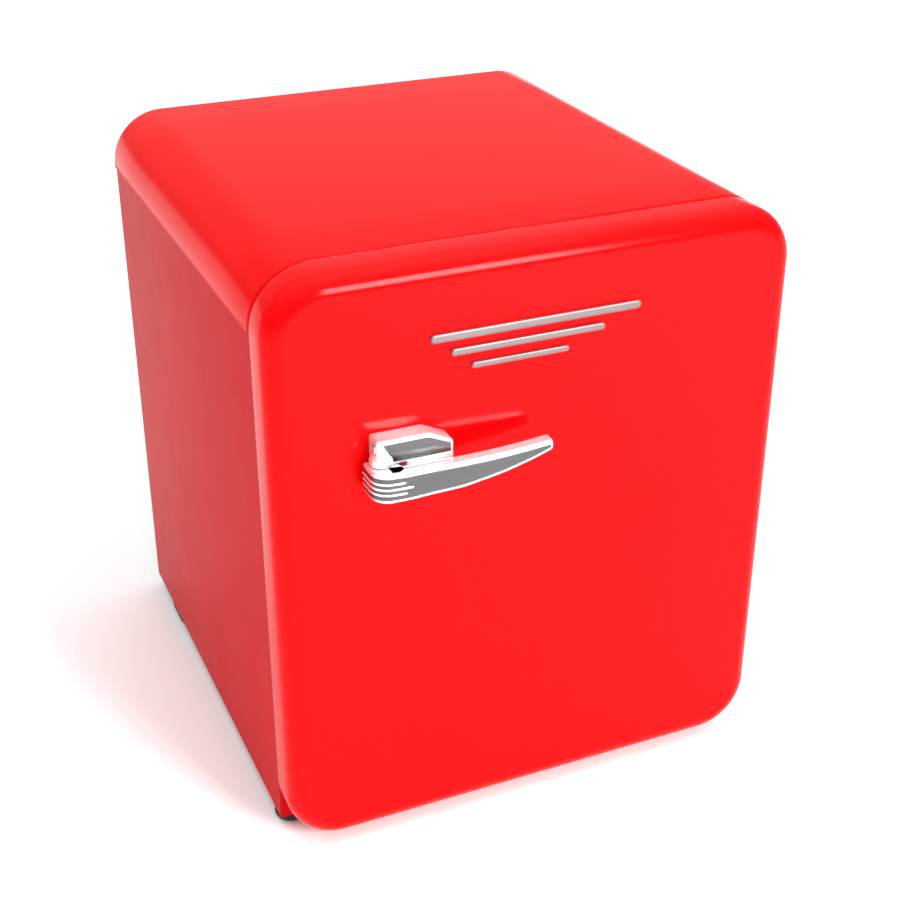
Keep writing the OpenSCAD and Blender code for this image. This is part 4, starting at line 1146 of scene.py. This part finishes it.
def lever_ring(x, shrink=0.0):
    """Rounded cross-section of the lever in distance off the door and z."""
    s1 = front_s(x) - shrink
    s0 = min(bow_s(x, BOW[2] - BOW_T), s1 - 4) + shrink
    z0, z1 = lever_low(x) + shrink, LEVER_TOP - shrink
    r = min(1.4, (s1 - s0) * 0.4, (z1 - z0) * 0.4)
    top = min(3.2, (s1 - s0) * 0.45, (z1 - z0) * 0.45)
    ring = (arc(s1 - r, z0 + r, r, -90, 0, 4) + arc(s1 - top, z1 - top, top, 0, 90, 6)
            + arc(s0 + r, z1 - r, r, 90, 180, 4) + arc(s0 + r, z0 + r, r, 180, 270, 4))
    return [(x, DOOR_FACE - s, z) for s, z in ring]


def wrap_line(rise, last_x, step=2.5):
    """Line in (x, s) over the lever's front, from its back left round the end and along the bow."""
    r = DRUM_R + rise
    line = [(DRUM_X - r, WRAP_S + 1.5 + 3 * i) for i in range(4)]
    line += arc(DRUM_X, DRUM_S, r, 180, 90, 14)
    count = max(2, int((last_x - DRUM_X) / step))
    along = [DRUM_X + (last_x - DRUM_X) * i / count for i in range(1, count + 1)]
    return line + [(x, front_s(x) + rise) for x in along]


b = Build()
stations = [DRUM_X + (TIP_X - DRUM_X - 2) * i / 40 for i in range(41)]
b.rings([lever_ring(x) for x in stations]
        + [lever_ring(TIP_X - 2 + 2 * sin(radians(a)), 2 * (1 - cos(radians(a))))
           for a in (25, 50, 75, 88)])
end = ([(DRUM_X - DRUM_R, WRAP_S)] + [(WRAP_X, WRAP_S), (WRAP_X, DRUM_S)]
       + arc(DRUM_X, DRUM_S, DRUM_R, 25, 180, 26))
b.prism(end, LEVER_TOP - LEVER_LOW, upright(LEVER_LOW), 1.6, 4)
for i, reach in ((1, 7), (2, 13), (3, 8)):
    z = LEVER_TOP - 3.4 - 4.4 * i
    line = wrap_line(0.35, DRUM_X + reach)
    line.append((DRUM_X + reach + 2.5, front_s(DRUM_X + reach + 2.5) - 1.0))
    b.tube([(u, DOOR_FACE - v, z) for u, v in line], 0.95, sides=12)
b.done("chrome_lever", "lever")

b = Build()
line = wrap_line(0.3, TIP_X - 2.6)
inner = wrap_line(-0.6, TIP_X - 2.6)
rings = []
for (u, v), (iu, iv) in zip(line, inner):
    z0, z1 = lever_low(u) + INLAY_FOOT, LEVER_TOP - INLAY_HEAD
    y, iy = DOOR_FACE - v, DOOR_FACE - iv
    rings.append([(iu, iy, z0), (u, y, z0 + 0.1), (u, y, z0 + 0.3), (u, y, z1 - 0.3), (u, y, z1 - 0.1),
                  (iu, iy, z1)])
b.rings(rings)
b.done("lever_inlay", "lever_plate")

b = Build()
low = LEVER_TOP + 0.6
block = [(BASE_X0, low), (BASE_X1, low), (BASE_X1, LEVER_TOP + 11.5), (BASE_X1 - 20, BASE_TOP),
         (BASE_X0, BASE_TOP)]
b.prism(block, BASE_S, off_door, 2.2, 5)
b.prism(rect(WRAP_X + 6, BASE_X1, 0, BASE_S - 0.3, 2), low + 2 - LUG_Z, upright(LUG_Z), 0.8, 2)
disc = (PIVOT_X + 1, DOOR_FACE - PIVOT_S - 1, 0)
b.lathe([(0, low), (8, low), (9, low + 1), (9, low + 5.4), (8, low + 7.2), (6.6, low + 7.8),
         (0, low + 7.8)],
        disc, "Z", 40)
b.lathe([(2.5, LUG_Z), (4.6, LUG_Z), (5, LUG_Z + 0.4), (5, LUG_Z + 3), (4.6, LUG_Z + 3.4),
         (2.5, LUG_Z + 3.4)],
        pivot_at, "Z", 28)
b.prism([(PIVOT_X, PIVOT_S - 5), (WRAP_X + 7, PIVOT_S - 5), (WRAP_X + 7, PIVOT_S + 1),
         (PIVOT_X, PIVOT_S + 1)], 3.4, upright(LUG_Z), 0.5)
base = b.done("chrome_base", "handle_base")
NOTCH_Z = BASE_TOP - 7
cut(base, [((BASE_X0 - 1, DOOR_FACE - 15.5, NOTCH_Z - 5), (BASE_X0 + 4.5, DOOR_FACE - 5, NOTCH_Z + 3.5))])

b = Build()
b.prism([(BASE_X0 + 13.5, LEVER_TOP + 2.7), (BASE_X1 - 2.5, LEVER_TOP + 2.7),
         (BASE_X1 - 2.5, LEVER_TOP + 9.7),
         (BASE_X1 - 20.5, BASE_TOP - 3.2), (BASE_X0 + 5, BASE_TOP - 3.2)], 1.0,
        lambda u, v, w: (u, DOOR_FACE - BASE_S + 0.7 - w, v), 0.25, 2)
b.done("base_inlay", "handle_plate")

b = Build()
b.lathe([(0, p0.z), (2.1, p0.z), (2.5, p0.z + 0.4), (2.5, p1.z - 0.6), (1.9, p1.z), (0, p1.z)],
        pivot_at, "Z", 24)
b.lathe([(0, NOTCH_Z - 5), (2.1, NOTCH_Z - 5), (2.1, NOTCH_Z + 0.6), (1.4, NOTCH_Z + 1.4),
         (0, NOTCH_Z + 1.4)],
        (BASE_X0 + 1.6, DOOR_FACE - 11, 0), "Z", 20)
b.done("pivot_pin", "lever_pin")

sp0, sp1 = corners("lever_spring")
helix = [(pivot_at[0] + 5 * cos(a), pivot_at[1] + 5 * sin(a),
          sp0.z + 0.9 + (sp1.z - sp0.z - 1.8) * a / (10 * pi)) for a in (pi * i / 12 for i in range(121))]
b = Build()
b.tube(helix, 0.85, sides=8)
b.done("torsion_spring", "lever_spring")

# ---- CAD nodes that stay

replaced = {n for o in bpy.data.objects for n in o.get("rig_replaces", [])}
for node, obj in frame["nodes"].items():
    if node in replaced:
        continue
    obj.data.materials.clear()
    obj.data.materials.append(MAT[SLOT_OF[node]])
    for slot in obj.material_slots:
        slot.link = "OBJECT"
        slot.material = MAT[SLOT_OF[node]]
    soft = obj.modifiers.new("edges", "BEVEL")
    soft.width = 0.35 * MM
    soft.segments = 2
    soft.limit_method = "ANGLE"
    soft.angle_limit = radians(40)

# ---- floor, world and lights

floor_mesh = bpy.data.meshes.new("floor")
FLOOR = 14.0
floor_mesh.from_pydata([(-FLOOR, -FLOOR, 0), (FLOOR, -FLOOR, 0), (FLOOR, FLOOR, 0), (-FLOOR, FLOOR, 0)],
                       [], [(0, 1, 2, 3)])
floor = bpy.data.objects.new("floor", floor_mesh)
floor.location = (0, 0, -0.0005)
scene.collection.objects.link(floor)
paper = Nodes("floor")
paper.set(Base_Color=(0.93, 0.93, 0.93, 1), Roughness=0.9, Specular_IOR_Level=0.1)
floor_mesh.materials.append(paper.mat)

world = bpy.data.worlds.new("studio")
scene.world = world
world.use_nodes = True
tree = world.node_tree
background = tree.nodes["Background"]
direction = tree.nodes.new("ShaderNodeTexCoord").outputs["Generated"]
split = tree.nodes.new("ShaderNodeSeparateXYZ")
tree.links.new(direction, split.inputs["Vector"])
height = tree.nodes.new("ShaderNodeMapRange")
height.inputs["From Min"].default_value = -1
height.inputs["From Max"].default_value = 1
tree.links.new(split.outputs["Z"], height.inputs["Value"])
sky = tree.nodes.new("ShaderNodeValToRGB")
# brightness of the room from straight down (0) to straight up (1)
SKY = [(0.0, 0.8), (0.48, 0.6), (0.52, 0.3), (0.62, 0.58), (0.72, 0.6), (0.80, 1.0), (0.88, 1.6),
       (1.0, 1.7)]
while len(sky.color_ramp.elements) < len(SKY):
    sky.color_ramp.elements.new(0.5)
for element, (at, grey) in zip(sky.color_ramp.elements, SKY):
    element.position = at
    element.color = (grey, grey, grey, 1)
tree.links.new(height.outputs["Result"], sky.inputs["Fac"])
tree.links.new(sky.outputs["Color"], background.inputs["Color"])
background.inputs["Strength"].default_value = 0.92


def softbox(name, at, aim, size, power):
    light = bpy.data.lights.new(name, "AREA")
    light.shape = "RECTANGLE"
    light.size, light.size_y = size
    light.energy = power
    obj = bpy.data.objects.new(name, light)
    obj.location = at
    obj.rotation_euler = (Vector(aim) - Vector(at)).to_track_quat("-Z", "Y").to_euler()
    scene.collection.objects.link(obj)
    return obj


softbox("key", (0.80, -2.45, 1.36), (-0.13, -0.21, 0.5), (0.75, 1.0), 90)
softbox("overhead", (0.0, -0.2, 3.0), (0, 0, 0.3), (2.6, 2.2), 18)
